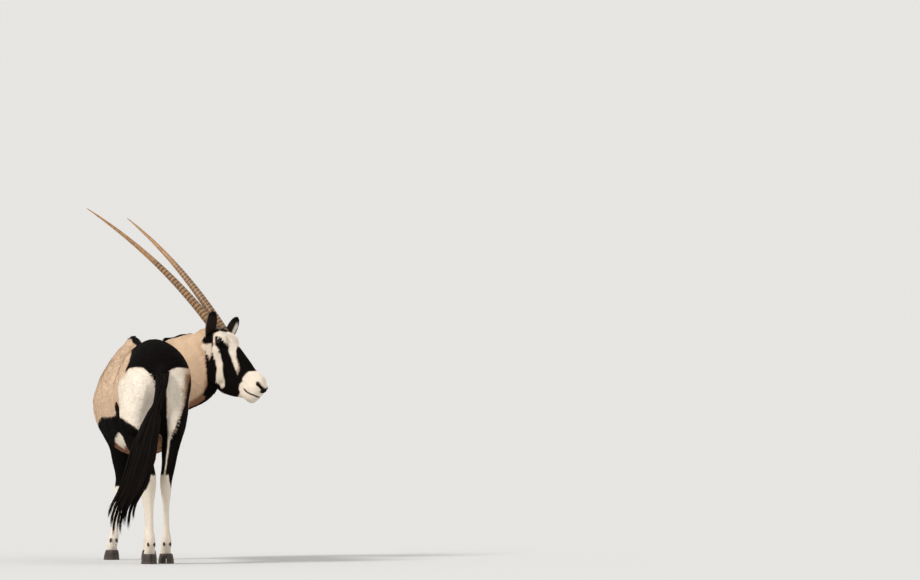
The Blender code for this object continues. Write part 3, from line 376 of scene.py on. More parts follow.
def head_matrix():
    """From the head's axes (forward, left, up) to the body's."""
    forward = Vector((math.sin(HEAD_YAW), math.cos(HEAD_YAW), 0.0))
    left = Vector((-math.cos(HEAD_YAW), math.sin(HEAD_YAW), 0.0))
    nose = math.cos(HEAD_PITCH) * forward - math.sin(HEAD_PITCH) * UP
    brow = math.sin(HEAD_PITCH) * forward + math.cos(HEAD_PITCH) * UP
    brow_rolled = math.cos(HEAD_ROLL) * brow + math.sin(HEAD_ROLL) * left
    left_rolled = math.cos(HEAD_ROLL) * left - math.sin(HEAD_ROLL) * brow
    turn = Matrix((nose, left_rolled, brow_rolled)).transposed()
    return Matrix.Translation(HEAD_PLACE) @ turn.to_4x4()


def mirrored(place, side):
    """A place in the head's axes on the left (1) or right (-1) side."""
    return Vector((place[0], place[1] * side, place[2]))


HEAD_TO_BODY = head_matrix()
BODY_TO_HEAD = HEAD_TO_BODY.inverted()
# After they were made, the solids were set on the floor, with the middle of their footprint at the origin
EYE_LOW, EYE_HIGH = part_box("eye_left")
SHIFT = (EYE_LOW + EYE_HIGH) / 2 - HEAD_TO_BODY @ EYE_PLACE


def settle(thing):
    """Moves a finished mesh from the axes of the forms to the frame's."""
    thing.data.transform(Matrix.Translation(SHIFT))
    return thing


def set_on_head(thing):
    """Finishes a piece that was made in the head's axes and sets it in the frame."""
    thing.data.transform(HEAD_TO_BODY)
    turn_outwards(thing)
    close_and_split(thing)
    return settle(thing)


def fore_leg_stations(side, foot):
    """Stations down a foreleg: place, half width, front, rear and fullness."""
    x, y, knee_x = foot
    return (
        ((side * 0.080, 0.870, 0.940), 0.024, 0.055, 0.055, 2.0),
        ((side * 0.103, 0.885, 0.865), 0.045, 0.100, 0.105, 2.0),
        ((side * 0.115, 0.925, 0.760), 0.056, 0.112, 0.132, 2.0),
        ((side * 0.095, 0.900, 0.650), 0.059, 0.095, 0.110, 2.0),
        ((knee_x + side * 0.008, 0.885, 0.560), 0.058, 0.062, 0.074, 2.0),
        ((knee_x, 0.885, 0.475), 0.047, 0.045, 0.050, 2.0),
        ((knee_x, 0.890, 0.400), 0.030, 0.034, 0.036, 2.0),
        ((knee_x, 0.895, KNEE), 0.032, 0.037, 0.034, 2.2),
        ((knee_x * 0.8 + x * 0.2, 0.893, 0.295), 0.025, 0.027, 0.030, 2.2),
        ((knee_x * 0.5 + x * 0.5, 0.890, 0.220), 0.0185, 0.020, 0.025, 2.2),
        ((knee_x * 0.25 + x * 0.75, y - 0.003, 0.150), 0.0195, 0.021, 0.026, 2.2),
        ((knee_x * 0.15 + x * 0.85, y, FETLOCK), 0.0255, 0.026, 0.033, 2.1),
        ((x, y + 0.018, 0.070), 0.027, 0.028, 0.030, 2.1),
        ((x, y + 0.034, CORONET - 0.012), 0.030, 0.032, 0.034, 2.1),
    )


def hind_leg_stations(side, foot, thigh):
    """Stations down a hind leg: place, half width, front, rear and fullness."""
    x, y, hock_x = foot
    out, half = thigh
    return (
        ((side * 0.080, 0.080, 0.900), 0.050, 0.090, 0.095, 2.0),
        ((side * (out * 0.5 + 0.045), 0.100, 0.800), half, 0.160, 0.150, 2.0),
        ((side * out, 0.125, 0.690), half, 0.170, 0.152, 2.0),
        ((side * (out - 0.006), 0.140, 0.605), half * 0.80, 0.125, 0.128, 2.0),
        ((side * (out * 0.5 + 0.022), y * 0.3 + 0.075, 0.530), half * 0.64, 0.080, 0.090, 2.0),
        ((hock_x + side * 0.012, y * 0.7 + 0.000, 0.465), 0.034, 0.048, 0.062, 2.0),
        ((hock_x, y - 0.040, HOCK), 0.0305, 0.040, 0.046, 2.1),
        ((hock_x, y - 0.034, 0.335), 0.0265, 0.030, 0.034, 2.2),
        ((hock_x * 0.6 + x * 0.4, y - 0.026, 0.250), 0.0190, 0.021, 0.025, 2.2),
        ((hock_x * 0.2 + x * 0.8, y - 0.014, 0.160), 0.0200, 0.021, 0.026, 2.2),
        ((x, y - 0.006, FETLOCK), 0.0265, 0.026, 0.034, 2.1),
        ((x, y + 0.016, 0.070), 0.0275, 0.028, 0.030, 2.1),
        ((x, y + 0.034, CORONET - 0.012), 0.030, 0.032, 0.034, 2.1),
    )


def legs():
    """Each leg's name, its side and the stations down it."""
    for name, side in SIDES:
        yield "fore_" + name, side, fore_leg_stations(side, FORE_FEET[name])
        yield "hind_" + name, side, hind_leg_stations(side, HIND_FEET[name], THIGHS[name])


def torso_forms():
    """The trunk with its shoulders, haunches and the root of the tail."""
    forms = [tube("trunk", TORSO, UP, sections_across=FORWARD)]
    forms.append(blob("withers", (0.0, 0.80, 0.985), (0.050, 0.150, 0.088)))
    forms.append(blob("breast", (0.0, 0.975, 0.690), (0.085, 0.105, 0.120)))
    for side in (-1, 1):
        forms.append(blob("hip", (side * 0.098, 0.190, 0.950), (0.050, 0.090, 0.055)))
        forms.append(blob("buttock", (side * 0.078, 0.012, 0.825), (0.070, 0.086, 0.115)))
        forms.append(blob("point_of_shoulder", (side * 0.098, 0.980, 0.770), (0.055, 0.062, 0.085)))
    dock = [(place, *[radius - COAT_DEPTH] * 3, 2.0) for place, radius in DOCK]
    forms.append(tube("dock", dock, FORWARD, count=16))
    return forms


def leg_forms():
    """The four legs."""
    return [tube(name, stations, FORWARD, count=20) for name, _, stations in legs()]


def neck_forms():
    """The neck, as a list of one."""
    return [tube("neck", NECK, UP)]


def head_forms():
    """The skull's outline with brows, cheeks, lips and chin, in the head's axes, then set in place."""
    left, brow = FORWARD, UP
    rings = [ring(Vector((row[0], 0.0, row[1])), left, brow, *row[2:]) for row in smooth_rows(HEAD)]
    forms = [loft("skull", rings), blob("chin", *CHIN)]
    for side in (-1, 1):
        for place, radii in HEAD_BLOBS:
            forms.append(blob("form", mirrored(place, side), radii))
    for form in forms:
        form.data.transform(HEAD_TO_BODY)
        turn_outwards(form)
    return forms


# Helpers for fields over a surface

def points_of(mesh):
    """A mesh's places as an array."""
    flat = np.zeros(len(mesh.vertices) * 3)
    mesh.vertices.foreach_get("co", flat)
    return flat.reshape(-1, 3)


def normals_of(mesh):
    """A mesh's normals as an array."""
    flat = np.zeros(len(mesh.vertices) * 3, np.float32)
    mesh.vertex_normals.foreach_get("vector", flat)
    return flat.reshape(-1, 3).astype(float)


def corners_of(mesh):
    """The number of the vertex at each corner of a mesh's faces."""
    corner = np.zeros(len(mesh.loops), np.int32)
    mesh.loops.foreach_get("vertex_index", corner)
    return corner


def move_points(mesh, points):
    """Moves a mesh's points."""
    mesh.vertices.foreach_set("co", points.astype(np.float32).ravel())
    mesh.update()


def to_head(points):
    """Places in the head's axes: forward, left, up."""
    turn = np.array(BODY_TO_HEAD)
    return points @ turn[:3, :3].T + turn[:3, 3]


def fade(value, low, high):
    """0 below low, 1 above high, smooth between."""
    t = np.clip((value - low) / (high - low), 0.0, 1.0)
    return t * t * (3.0 - 2.0 * t)


def bell(points, centre, radii):
    """A soft bump of height 1 at a centre, which fades out at about its radii."""
    offset = (points - np.array(centre)) / np.array(radii)
    return np.exp(-2.0 * (offset**2).sum(axis=1))


def along_line(points, line):
    """Each place's distance to a bent line, how far along it lies, and the line's way there."""
    line = np.array(line, dtype=float)
    best = np.full(len(points), np.inf)
    reach = np.zeros(len(points))
    way = np.zeros((len(points), line.shape[1]))
    done = 0.0
    for a, b in zip(line, line[1:]):
        step = b - a
        length = np.linalg.norm(step)
        t = np.clip((points - a) @ step / length**2, 0.0, 1.0)
        distance = np.linalg.norm(points - a - t[:, None] * step, axis=1)
        nearer = distance < best
        best = np.where(nearer, distance, best)
        reach = np.where(nearer, done + t * length, reach)
        way[nearer] = step / length
        done += length
    return best, reach, way


def least(*fields):
    """Positive where all of several fields are."""
    return np.minimum.reduce(fields)


def most(*fields):
    """Positive where any of several fields is."""
    return np.maximum.reduce(fields)


def band(value, low, high):
    """Positive between two limits."""
    return np.minimum(value - low, high - value)


def inside(points, outline):
    """Distance to a flat outline, positive inside it."""
    outline = np.array(outline, dtype=float)
    within = np.zeros(len(points), bool)
    best = np.full(len(points), np.inf)
    for a, b in zip(outline, np.roll(outline, -1, axis=0)):
        step = b - a
        t = np.clip((points - a) @ step / (step @ step), 0.0, 1.0)
        best = np.minimum(best, np.linalg.norm(points - a - t[:, None] * step, axis=1))
        crosses = (a[1] > points[:, 1]) != (b[1] > points[:, 1])
        height = np.where(abs(step[1]) < 1e-12, 1e-12, step[1])
        at = a[0] + (points[:, 1] - a[1]) / height * step[0]
        within ^= crosses & (points[:, 0] < at)
    return np.where(within, best, -best)


def store(mesh, name, values):
    """Keeps a number or a way for each vertex."""
    kind, slot = ("FLOAT", "value") if values.ndim == 1 else ("FLOAT_VECTOR", "vector")
    attribute = mesh.attributes.get(name) or mesh.attributes.new(name, kind, "POINT")
    attribute.data.foreach_set(slot, values.astype(np.float32).ravel())


# The skin

# Hollows and swellings under the skin, on both sides: place (x is how far out), radii and height
MUSCLES = (
    ((0.165, 0.310, 0.700), (0.070, 0.030, 0.130), -0.016),
    ((0.150, 0.330, 0.890), (0.060, 0.075, 0.060), -0.012),
    ((0.190, 0.755, 0.800), (0.070, 0.032, 0.150), -0.009),
    ((0.160, 0.870, 0.735), (0.050, 0.030, 0.080), -0.006),
    ((0.105, 0.905, 0.985), (0.045, 0.035, 0.070), -0.006),
    ((0.130, 0.110, 0.900), (0.050, 0.040, 0.060), -0.006),
    ((0.115, -0.020, 0.690), (0.045, 0.050, 0.090), -0.005),
    ((0.060, -0.060, 0.720), (0.026, 0.040, 0.110), -0.008),
    ((0.130, 0.060, 0.640), (0.040, 0.030, 0.070), -0.005),
)
RIB_SPACING = 0.052
RIB_DEPTH = 0.0022
CANON_GROOVE = 0.0026
# Hollows and swellings on the head, in its axes, on both sides
HEAD_MODELLING = (
    ((-0.045, 0.066, -0.006), (0.022, 0.020, 0.014), -0.0050),
    ((0.028, 0.066, 0.006), (0.020, 0.020, 0.012), -0.0030),
    ((0.085, 0.052, -0.050), (0.060, 0.030, 0.016), -0.0040),
    ((0.075, 0.046, -0.012), (0.060, 0.020, 0.008), 0.0020),
    ((0.150, 0.044, -0.040), (0.050, 0.030, 0.022), -0.0030),
    ((0.215, 0.040, -0.022), (0.028, 0.020, 0.014), -0.0022),
    ((0.284, 0.034, -0.020), (0.024, 0.018, 0.015), 0.0030),
    ((0.250, 0.036, -0.062), (0.034, 0.020, 0.008), 0.0022),
    ((0.255, 0.034, -0.088), (0.034, 0.020, 0.009), 0.0016),
    ((0.095, 0.040, -0.135), (0.050, 0.030, 0.010), -0.0025),
    ((-0.030, 0.050, -0.090), (0.012, 0.040, 0.060), -0.0040),
)
REFINED_HEAD = (-0.150, 0.5)
REFINED_FACE = ((-0.050, 0.038), (0.225, 0.330))


def refine(thing, chosen):
    """Halves the faces whose centres a test picks."""
    with opened(thing) as work:
        work.faces.ensure_lookup_table()
        centres = np.array([face.calc_center_median() for face in work.faces])
        picked = [work.faces[i] for i in np.flatnonzero(chosen(centres))]
        edges = list({edge for face in picked for edge in face.edges})
        bmesh.ops.subdivide_edges(work, edges=edges, cuts=1, use_grid_fill=True, smooth=0.0)


def on_head(points):
    """Whether places lie on the head and the top of the neck."""
    h = to_head(points)
    return (h[:, 0] > REFINED_HEAD[0]) & (np.abs(h[:, 1]) < 0.13) & (np.abs(h[:, 2] + 0.05) < 0.17)


def near_eyes_or_lips(points):
    """Whether each place is where the skin has its finest mesh."""
    h = to_head(points)
    eyes = (h[:, 0] > REFINED_FACE[0][0]) & (h[:, 0] < REFINED_FACE[0][1])
    eyes &= (np.abs(h[:, 1]) > 0.040) & (np.abs(h[:, 2] - 0.012) < 0.040)
    lips = (h[:, 0] > REFINED_FACE[1][0]) & (h[:, 0] < REFINED_FACE[1][1])
    return on_head(points) & (eyes | lips)


def follow_fine_head(skin):
    """Draws the head's part of the skin onto a finer form of the head."""
    fine = blend_forms("fine_head", head_forms() + neck_forms(), HEAD_VOXEL, HEAD_ROUNDS)
    tree = BVHTree.FromObject(fine, bpy.context.evaluated_depsgraph_get())
    points = points_of(skin.data)
    h = to_head(points)
    share = fade(h[:, 0], -0.120, -0.050) * on_head(points)
    for i in np.flatnonzero(share > 0.0):
        found = tree.find_nearest(Vector(points[i]))[0]
        if found is not None:
            points[i] += (np.array(found) - points[i]) * share[i]
    move_points(skin.data, points)
    bpy.data.objects.remove(fine, do_unlink=True)


def model_body(points, normals):
    """How far each place moves along its normal for the muscles, ribs and tendons."""
    height = np.zeros(len(points))
    for side in (-1, 1):
        for (x, y, z), radii, amount in MUSCLES:
            height += amount * bell(points, (side * x, y, z), radii)
    ribs = np.cos(2.0 * math.pi * (points[:, 1] + 0.35 * points[:, 2]) / RIB_SPACING)
    cage = bell(points, (0.20, 0.58, 0.74), (0.14, 0.16, 0.16))
    cage += bell(points, (-0.20, 0.58, 0.74), (0.14, 0.16, 0.16))
    height -= RIB_DEPTH * 0.5 * (1.0 - ribs) * cage
    for line in leg_lines():
        distance = along_line(points, line)[0]
        sideways = np.abs(normals[:, 0])
        shank = fade(points[:, 2], 0.13, 0.17) * (1.0 - fade(points[:, 2], 0.28, 0.33))
        height -= CANON_GROOVE * shank * fade(sideways, 0.80, 0.98) * (distance < 0.05)
    return height


def leg_lines():
    """The middle line of each leg."""
    return [[place for place, *_ in stations[3:]] for _, _, stations in legs()]


def lid_shape(offset):
    """How far from the middle of the lids' opening a place lies: 1 on their rim."""
    wide, high = LID_OPENING
    x = offset[:, 0] * math.cos(LID_SLANT) + offset[:, 2] * math.sin(LID_SLANT)
    z = -offset[:, 0] * math.sin(LID_SLANT) + offset[:, 2] * math.cos(LID_SLANT)
    return np.sqrt((x / wide) ** 2 + (z / high) ** 2)


def open_eyes(h):
    """Sinks the skin behind each eyeball and lays the lids' skin round it."""
    for side in (-1, 1):
        eye = np.array(mirrored(EYE_PLACE, side))
        offset = h - eye
        here = (np.sign(h[:, 1]) == side) & (np.linalg.norm(offset, axis=1) < 0.045)
        rim = lid_shape(offset)
        flat = np.clip(offset[:, 0] ** 2 + offset[:, 2] ** 2, 0.0, (EYE_RADIUS * 0.98) ** 2)
        ball = np.sqrt(EYE_RADIUS**2 - flat)
        hole = 1.0 - fade(rim, 0.98, 1.22)
        target = eye[1] + side * (ball - 0.006)
        h[:, 1] = np.where(here & (hole > 0.0), h[:, 1] * (1.0 - hole) + target * hole, h[:, 1])
        crease = 0.0022 * np.exp(-(((rim - 1.95) / 0.20) ** 2)) * (offset[:, 2] > -0.004)
        h[:, 1] -= side * crease * here
    return h


def cut_mouth(h):
    """Draws the line between the lips."""
    side_view = h[:, [0, 2]]
    distance = along_line(side_view, MOUTH_LINE)[0]
    depth = MOUTH_DEPTH * np.exp(-((distance / MOUTH_WIDTH) ** 2))
    depth *= fade(h[:, 0], MOUTH_LINE[0][0] - 0.004, MOUTH_LINE[0][0] + 0.006)
    lips = 0.0016 * np.exp(-(((distance - 0.008) / 0.004) ** 2)) * (h[:, 0] > MOUTH_LINE[0][0])
    return lips - depth


def sink_nostrils(h):
    """How far each place rises: down in the nostrils and up a little round them."""
    height = np.zeros(len(h))
    for side in (-1, 1):
        line = [mirrored(place, side) for place in NOSTRIL_LINE]
        distance, reach, _ = along_line(h, line)
        radius = NOSTRIL_RADIUS * (0.55 + 0.45 * fade(reach, 0.0, 0.035))
        height -= NOSTRIL_DEPTH * np.exp(-((distance / radius) ** 2) * 1.4)
        height += 0.0022 * np.exp(-(((distance - 1.9 * radius) / (0.7 * radius)) ** 2))
    return height


def shape_skin():
    """One skin for the whole body, finer on the head and finest round the eyes and lips."""
    forms = torso_forms() + leg_forms() + neck_forms() + head_forms()
    skin = blend_forms("skin", forms, SKIN_VOXEL, SKIN_ROUNDS, SKIN_ROUNDS_ABOVE, ROUNDS_LEVEL)
    refine(skin, on_head)
    follow_fine_head(skin)
    refine(skin, near_eyes_or_lips)
    ease_head(skin)
    points = points_of(skin.data)
    normals = normals_of(skin.data)
    h = to_head(points)
    face = fade(h[:, 0], -0.110, -0.060) * on_head(points)
    depth = COAT_DEPTH + (FACE_COAT_DEPTH - COAT_DEPTH) * face
    height = model_body(points, normals) * (1.0 - face) - depth
    for side in (-1, 1):
        for place, radii, amount in HEAD_MODELLING:
            height += amount * bell(h, mirrored(place, side), radii) * face
    height += (cut_mouth(h) + sink_nostrils(h)) * face
    points += normals * height[:, None]
    h = open_eyes(to_head(points))
    turn = np.array(HEAD_TO_BODY)
    opened = h @ turn[:3, :3].T + turn[:3, 3]
    points = np.where((face > 0.5)[:, None], opened, points)
    move_points(skin.data, points)
    close_and_split(skin)
    return skin


def ease_head(skin):
    """Eases the steps that halving the faces left."""
    group = skin.vertex_groups.new(name="face")
    chosen = np.flatnonzero(on_head(points_of(skin.data)))
    group.add([int(i) for i in chosen], 1.0, "REPLACE")
    ease(skin, 3, group)


# The markings, and the shade painted with them. Each field is a distance in metres, positive inside the
# marking.

SOFT_EDGE = 0.004
# Width of the soft edge of the painted shade in brown
PAINTED_SHADE_EDGE = 0.012
# Half width of the black along the back, from the tail (low y) to the withers
BACK_PLACES = (-0.13, -0.09, -0.06, 0.0, 0.08, 0.13, 0.20, 0.30, 0.36, 0.43, 0.55, 0.80, 0.95)
BACK_WIDTHS = (0.060, 0.090, 0.140, 0.156, 0.156, 0.140, 0.122, 0.096, 0.078, 0.046, 0.026, 0.016, 0.014)
BACK_END = 0.93
BACK_LOW = 0.90
DOCK_DARK = 0.036
# Left edge of the black on the rump, as the camera sees it: how high and how far across
RUMP_SIDE_LEVELS = (0.919, 0.953, 0.995, 1.044)
RUMP_SIDES = (-0.164, -0.149, -0.137, -0.131)
RUMP_END = 0.42
# Lower edge of the black on the rump: places across, as the camera sees them, and how high it is there
RUMP_ACROSS = (
    -0.165, -0.148, -0.114, -0.080, -0.062, -0.045, -0.032, 0.027, 0.037, 0.050, 0.065, 0.095, 0.135,
)
RUMP_LEVELS = (0.905, 0.926, 0.934, 0.930, 0.914, 0.890, 0.856, 0.850, 0.899, 0.920, 0.929, 0.932, 0.925)
REAR_REACH = 0.20
BUTTOCK_LEVEL = 0.79
# Black painted shadow of the tail, in the cleft between the buttocks: its limits across and up, and how far
# forward it goes
CLEFT_SHADE_ACROSS = (-0.030, 0.031)
CLEFT_SHADE_UP = (0.560, 0.93)
CLEFT_SHADE_FORWARD = 0.14
# White and pale patches of the buttocks, as the camera sees them: across and up
LEFT_BUTTOCK = (
    (-0.103, 0.929), (-0.067, 0.913), (-0.049, 0.884), (-0.030, 0.857), (-0.022, 0.814), (-0.020, 0.770),
    (-0.022, 0.720), (-0.036, 0.662), (-0.065, 0.632), (-0.096, 0.636), (-0.129, 0.657), (-0.166, 0.679),
    (-0.187, 0.712), (-0.206, 0.763), (-0.210, 0.812), (-0.196, 0.852), (-0.166, 0.889), (-0.145, 0.915),
)
RIGHT_BUTTOCK = (
    (0.057, 0.922), (0.085, 0.932), (0.112, 0.932), (0.112, 0.876), (0.104, 0.763), (0.094, 0.719),
    (0.084, 0.680), (0.072, 0.648), (0.056, 0.618), (0.046, 0.588), (0.041, 0.540), (0.0345, 0.500),
    (0.0285, 0.455), (0.023, 0.415), (0.014, 0.415), (0.022, 0.455), (0.028, 0.500), (0.034, 0.560),
    (0.034, 0.639), (0.031, 0.748), (0.029, 0.839), (0.042, 0.880),
)
# The dark outside of the right thigh, as the camera sees it; high up along the right buttock's edge it is
# black painted shade
RIGHT_THIGH = (
    (0.230, 0.910), (0.150, 0.905), (0.136, 0.860), (0.127, 0.800), (0.117, 0.750), (0.104, 0.716),
    (0.093, 0.674), (0.069, 0.631), (0.052, 0.592), (0.044, 0.540), (0.038, 0.430), (0.230, 0.430),
)
# The stripe along the flank: where, how high its middle, and half its height
FLANK_PLACES = (0.280, 0.380, 0.500, 0.650, 0.800, 0.900)
FLANK_LEVELS = (0.628, 0.626, 0.624, 0.602, 0.600, 0.630)
FLANK_HALVES = (0.064, 0.068, 0.066, 0.050, 0.042, 0.040)
FLANK_FRONT = 0.90
FLANK_INNER = 0.05
FLANK_END_LEVELS = (0.556, 0.600, 0.632, 0.700)
FLANK_ENDS = (0.530, 0.410, 0.310, 0.290)
BELLY_LEVEL = 0.578
# How much higher the painted shade under the belly reaches in the middle, and the widths over which that
# fades
BELLY_SHADE_RISE = (0.045, 0.060, 0.110)
BELLY_WHITE = (0.16, 0.95)
# Painted shade in brown on the belly, which is white, and beside the throat: its limits along the belly, its
# lowest level and its reach from the throat's line
BELLY_SHADE = (0.16, 0.80)
BELLY_SHADE_LOW = 0.47
NECK_SHADE_REACH = 0.075
# The white fold before the thigh: its limits along, its upper level and how far out it starts
FOLD = (0.335, 0.47)
FOLD_TOP = 0.635
FOLD_INNER = 0.105
# Painted shade in brown on the right buttock's edge, the side away from the light: how far across it starts,
# and its limits up
EDGE_SHADE_ACROSS = 0.100
EDGE_SHADE_UP = (0.66, 0.90)
EDGE_SHADE_FORWARD = 0.12
# The dark of the thighs, which goes all round them and is black painted shade on their inner sides: its
# lowest level, then places along and its upper edge
THIGH_LOW = 0.425
THIGH_DROP = 3.0
THIGH_PLACES = (-0.100, 0.050, 0.150, 0.210, 0.245, 0.290, 0.340)
THIGH_LEVELS = (0.690, 0.690, 0.705, 0.728, 0.770, 0.735, 0.690)
THIGH_FRONT = 0.34
# Marks of the legs: the garters' limits up, and the lines down the fronts of the shanks and pasterns
GARTER = (0.354, 0.600)
SHANK_LINE = (0.120, 0.315)
SHANK_HALF = 0.0085
PASTERN_HALF = 0.014
PASTERN_TOP = 0.088
WHITE_LEG_TOP = 0.430
CREST_REACH = 0.460
CREST_HALF = 0.021
CREST_SAG = 0.008
THROAT_HALF = 0.036
THROAT_END = ((0.010, 1.050, 0.700), (0.0, 1.010, 0.600), (0.0, 0.900, 0.545))
# The brisket's dark line on each side (x is how far out), and half its width
BRISKET = ((0.060, 0.970, 0.590), (0.120, 0.880, 0.600), (0.160, 0.780, 0.600))
BRISKET_HALF = 0.040
# Markings of the head in side view: forward and up, in its axes
FACE_EDGE = (
    (-0.105, 0.110), (-0.105, 0.030), (-0.098, 0.006), (-0.080, -0.006), (-0.077, -0.046), (-0.055, -0.042),
    (-0.030, -0.020), (-0.014, -0.024), (-0.004, -0.046), (0.008, -0.056), (0.014, -0.083),
    (-0.010, -0.074), (-0.030, -0.070), (0.002, -0.106), (0.045, -0.149), (0.072, -0.197),
    (0.085, -0.275), (0.400, -0.275), (0.400, 0.110),
)
BROW_AND_FRONT_STRIPE = (
    (-0.050, 0.026), (-0.048, 0.080), (0.060, 0.080), (0.110, 0.060), (0.155, 0.000), (0.168, -0.046),
    (0.139, -0.032), (0.096, -0.005), (0.064, 0.006), (0.040, 0.025), (0.018, 0.033), (-0.012, 0.038),
    (-0.030, 0.028),
)
REAR_STRIPE = (
    (-0.050, 0.034), (-0.030, 0.036), (-0.032, 0.018), (-0.014, 0.000), (0.003, -0.007), (0.035, -0.019),
    (0.053, -0.036), (0.076, -0.052), (0.101, -0.079), (0.135, -0.113), (0.147, -0.137), (0.139, -0.156),
    (0.108, -0.150), (0.092, -0.130), (0.073, -0.092), (0.054, -0.080), (0.024, -0.054), (-0.002, -0.044),
    (-0.014, -0.021), (-0.040, 0.008),
)
CHEEK_LOBE = (
    (-0.060, -0.046), (-0.030, -0.022), (-0.012, -0.026), (-0.003, -0.046), (0.007, -0.057), (0.012, -0.080),
    (-0.009, -0.072), (-0.036, -0.064), (-0.062, -0.070),
)
MUZZLE = (
    (0.215, 0.060), (0.213, 0.021), (0.198, 0.004), (0.196, -0.017), (0.200, -0.042), (0.209, -0.052),
    (0.207, -0.073), (0.217, -0.092), (0.232, -0.103), (0.228, -0.127), (0.235, -0.200), (0.400, -0.200),
    (0.400, 0.060),
)
# Half width of the forehead's black down the middle of the face
FOREHEAD_PLACES = (0.030, 0.050, 0.077, 0.104, 0.155)
FOREHEAD_HALVES = (-0.010, 0.002, 0.031, 0.041, 0.043)
# The dark front of the nose; below the nostrils it is painted shade on the upper lip's front
NOSE_FRONT = (0.3060, -0.034)
NOSTRIL_DARK = 0.0082
LID_RING = 1.22


def leg_frame(points):
    """How far out and forward of the nearest leg's middle each place is, and whether it is a foreleg."""
    best = np.full(len(points), np.inf)
    out = np.zeros(len(points))
    ahead = np.zeros(len(points))
    fore = np.zeros(len(points), bool)
    for name, side, stations in legs():
        rows = np.array([place for place, *_ in stations])[::-1]
        x = np.interp(points[:, 2], rows[:, 2], rows[:, 0])
        y = np.interp(points[:, 2], rows[:, 2], rows[:, 1])
        distance = np.hypot(points[:, 0] - x, (points[:, 1] - y) * 0.6)
        nearer = distance < best
        best = np.where(nearer, distance, best)
        out = np.where(nearer, side * (points[:, 0] - x), out)
        ahead = np.where(nearer, points[:, 1] - y, ahead)
        fore = np.where(nearer, name.startswith("fore"), fore)
    return out, ahead, fore


def neck_edge(over):
    """A line along the crest (1) or the throat (-1) of the neck."""
    line = []
    rows = smooth_rows([(*place, *sizes) for place, *sizes in NECK])
    for i in range(1, len(rows) - 1):
        along = Vector(rows[i + 1][:3] - rows[i - 1][:3]).normalized()
        side = along.cross(UP).normalized()
        up = side.cross(along)
        reach = rows[i][4] if over > 0 else -rows[i][5]
        line.append(tuple(Vector(rows[i][:3]) + up * reach))
    return line


def seen_across(points):
    """How far to the right each place lies, as the camera sees it."""
    return points[:, 0] * math.cos(CAMERA_SIDE) - points[:, 1] * math.sin(CAMERA_SIDE)


def buttock_field(points):
    """The pale patches on the back of the hindquarters."""
    view = np.stack((seen_across(points), points[:, 2]), axis=1)
    patches = np.maximum(inside(view, LEFT_BUTTOCK), inside(view, RIGHT_BUTTOCK))
    off_middle = np.clip(np.abs(points[:, 2] - BUTTOCK_LEVEL) - 0.03, 0.0, 0.10)
    return np.minimum(patches, REAR_REACH - 0.8 * off_middle - points[:, 1])


def back_and_rump(points):
    """The black along the back, over the rump and down the dock."""
    x, y, z = points.T
    across = seen_across(points)
    half = np.interp(y, BACK_PLACES, BACK_WIDTHS)
    low = np.where(y < REAR_REACH, np.interp(across, RUMP_ACROSS, RUMP_LEVELS), BACK_LOW)
    left_edge = np.where(y < RUMP_END, across - np.interp(z, RUMP_SIDE_LEVELS, RUMP_SIDES), 1.0)
    dock = DOCK_DARK - along_line(points, [place for place, _ in DOCK])[0]
    return most(least(half - np.abs(x), z - low, BACK_END - y, left_edge), dock)


def thighs(points, out, fore):
    """The dark of the thighs, black painted shade on their inner sides, in the cleft and up the right
    buttock's edge, round the pale buttocks.
    """
    x, y, z = points.T
    across = seen_across(points)
    # Black painted shadow of the tail in the cleft
    cleft = least(band(across, *CLEFT_SHADE_ACROSS), band(z, *CLEFT_SHADE_UP), CLEFT_SHADE_FORWARD - y)
    low = THIGH_LOW - THIGH_DROP * np.clip(out, 0.0, 0.03)
    outer = np.where(y > 0.15, np.abs(x) - 0.10 + 0.6 * np.clip(0.62 - z, 0.0, 0.2), 1.0)
    thigh = least(z - low, np.interp(y, THIGH_PLACES, THIGH_LEVELS) - z, outer, THIGH_FRONT - y)
    thigh = np.where(~fore & (y < THIGH_FRONT + 0.02), thigh, -1.0)
    # Painted shade: above about 0.72 the black keeps to the back, up the right buttock's shaded edge
    reach = np.interp(z, (0.70, 0.78), (REAR_REACH, 0.11))
    right = least(inside(np.stack((across, z), axis=1), RIGHT_THIGH), reach - y, x - 0.02)
    dark = most(cleft, thigh, np.where(fore, -1.0, right))
    return least(dark, np.where(y < REAR_REACH, -buttock_field(points), 1.0))


def leg_marks(points, out, ahead, fore):
    """The garters of the forelegs and the lines down the shanks and pasterns."""
    y, z = points[:, 1], points[:, 2]
    garter = least(z - GARTER[0], GARTER[1] + 0.5 * out - z, out + 0.6 * ahead + 0.060)
    garter = np.where(fore & (y > 0.6), garter, -1.0)
    shank = least(SHANK_HALF - np.abs(out), ahead - 0.004, band(z, *SHANK_LINE))
    pastern = least(PASTERN_HALF - np.abs(out), ahead + 0.004, PASTERN_TOP - z)
    return most(garter, shank, pastern)


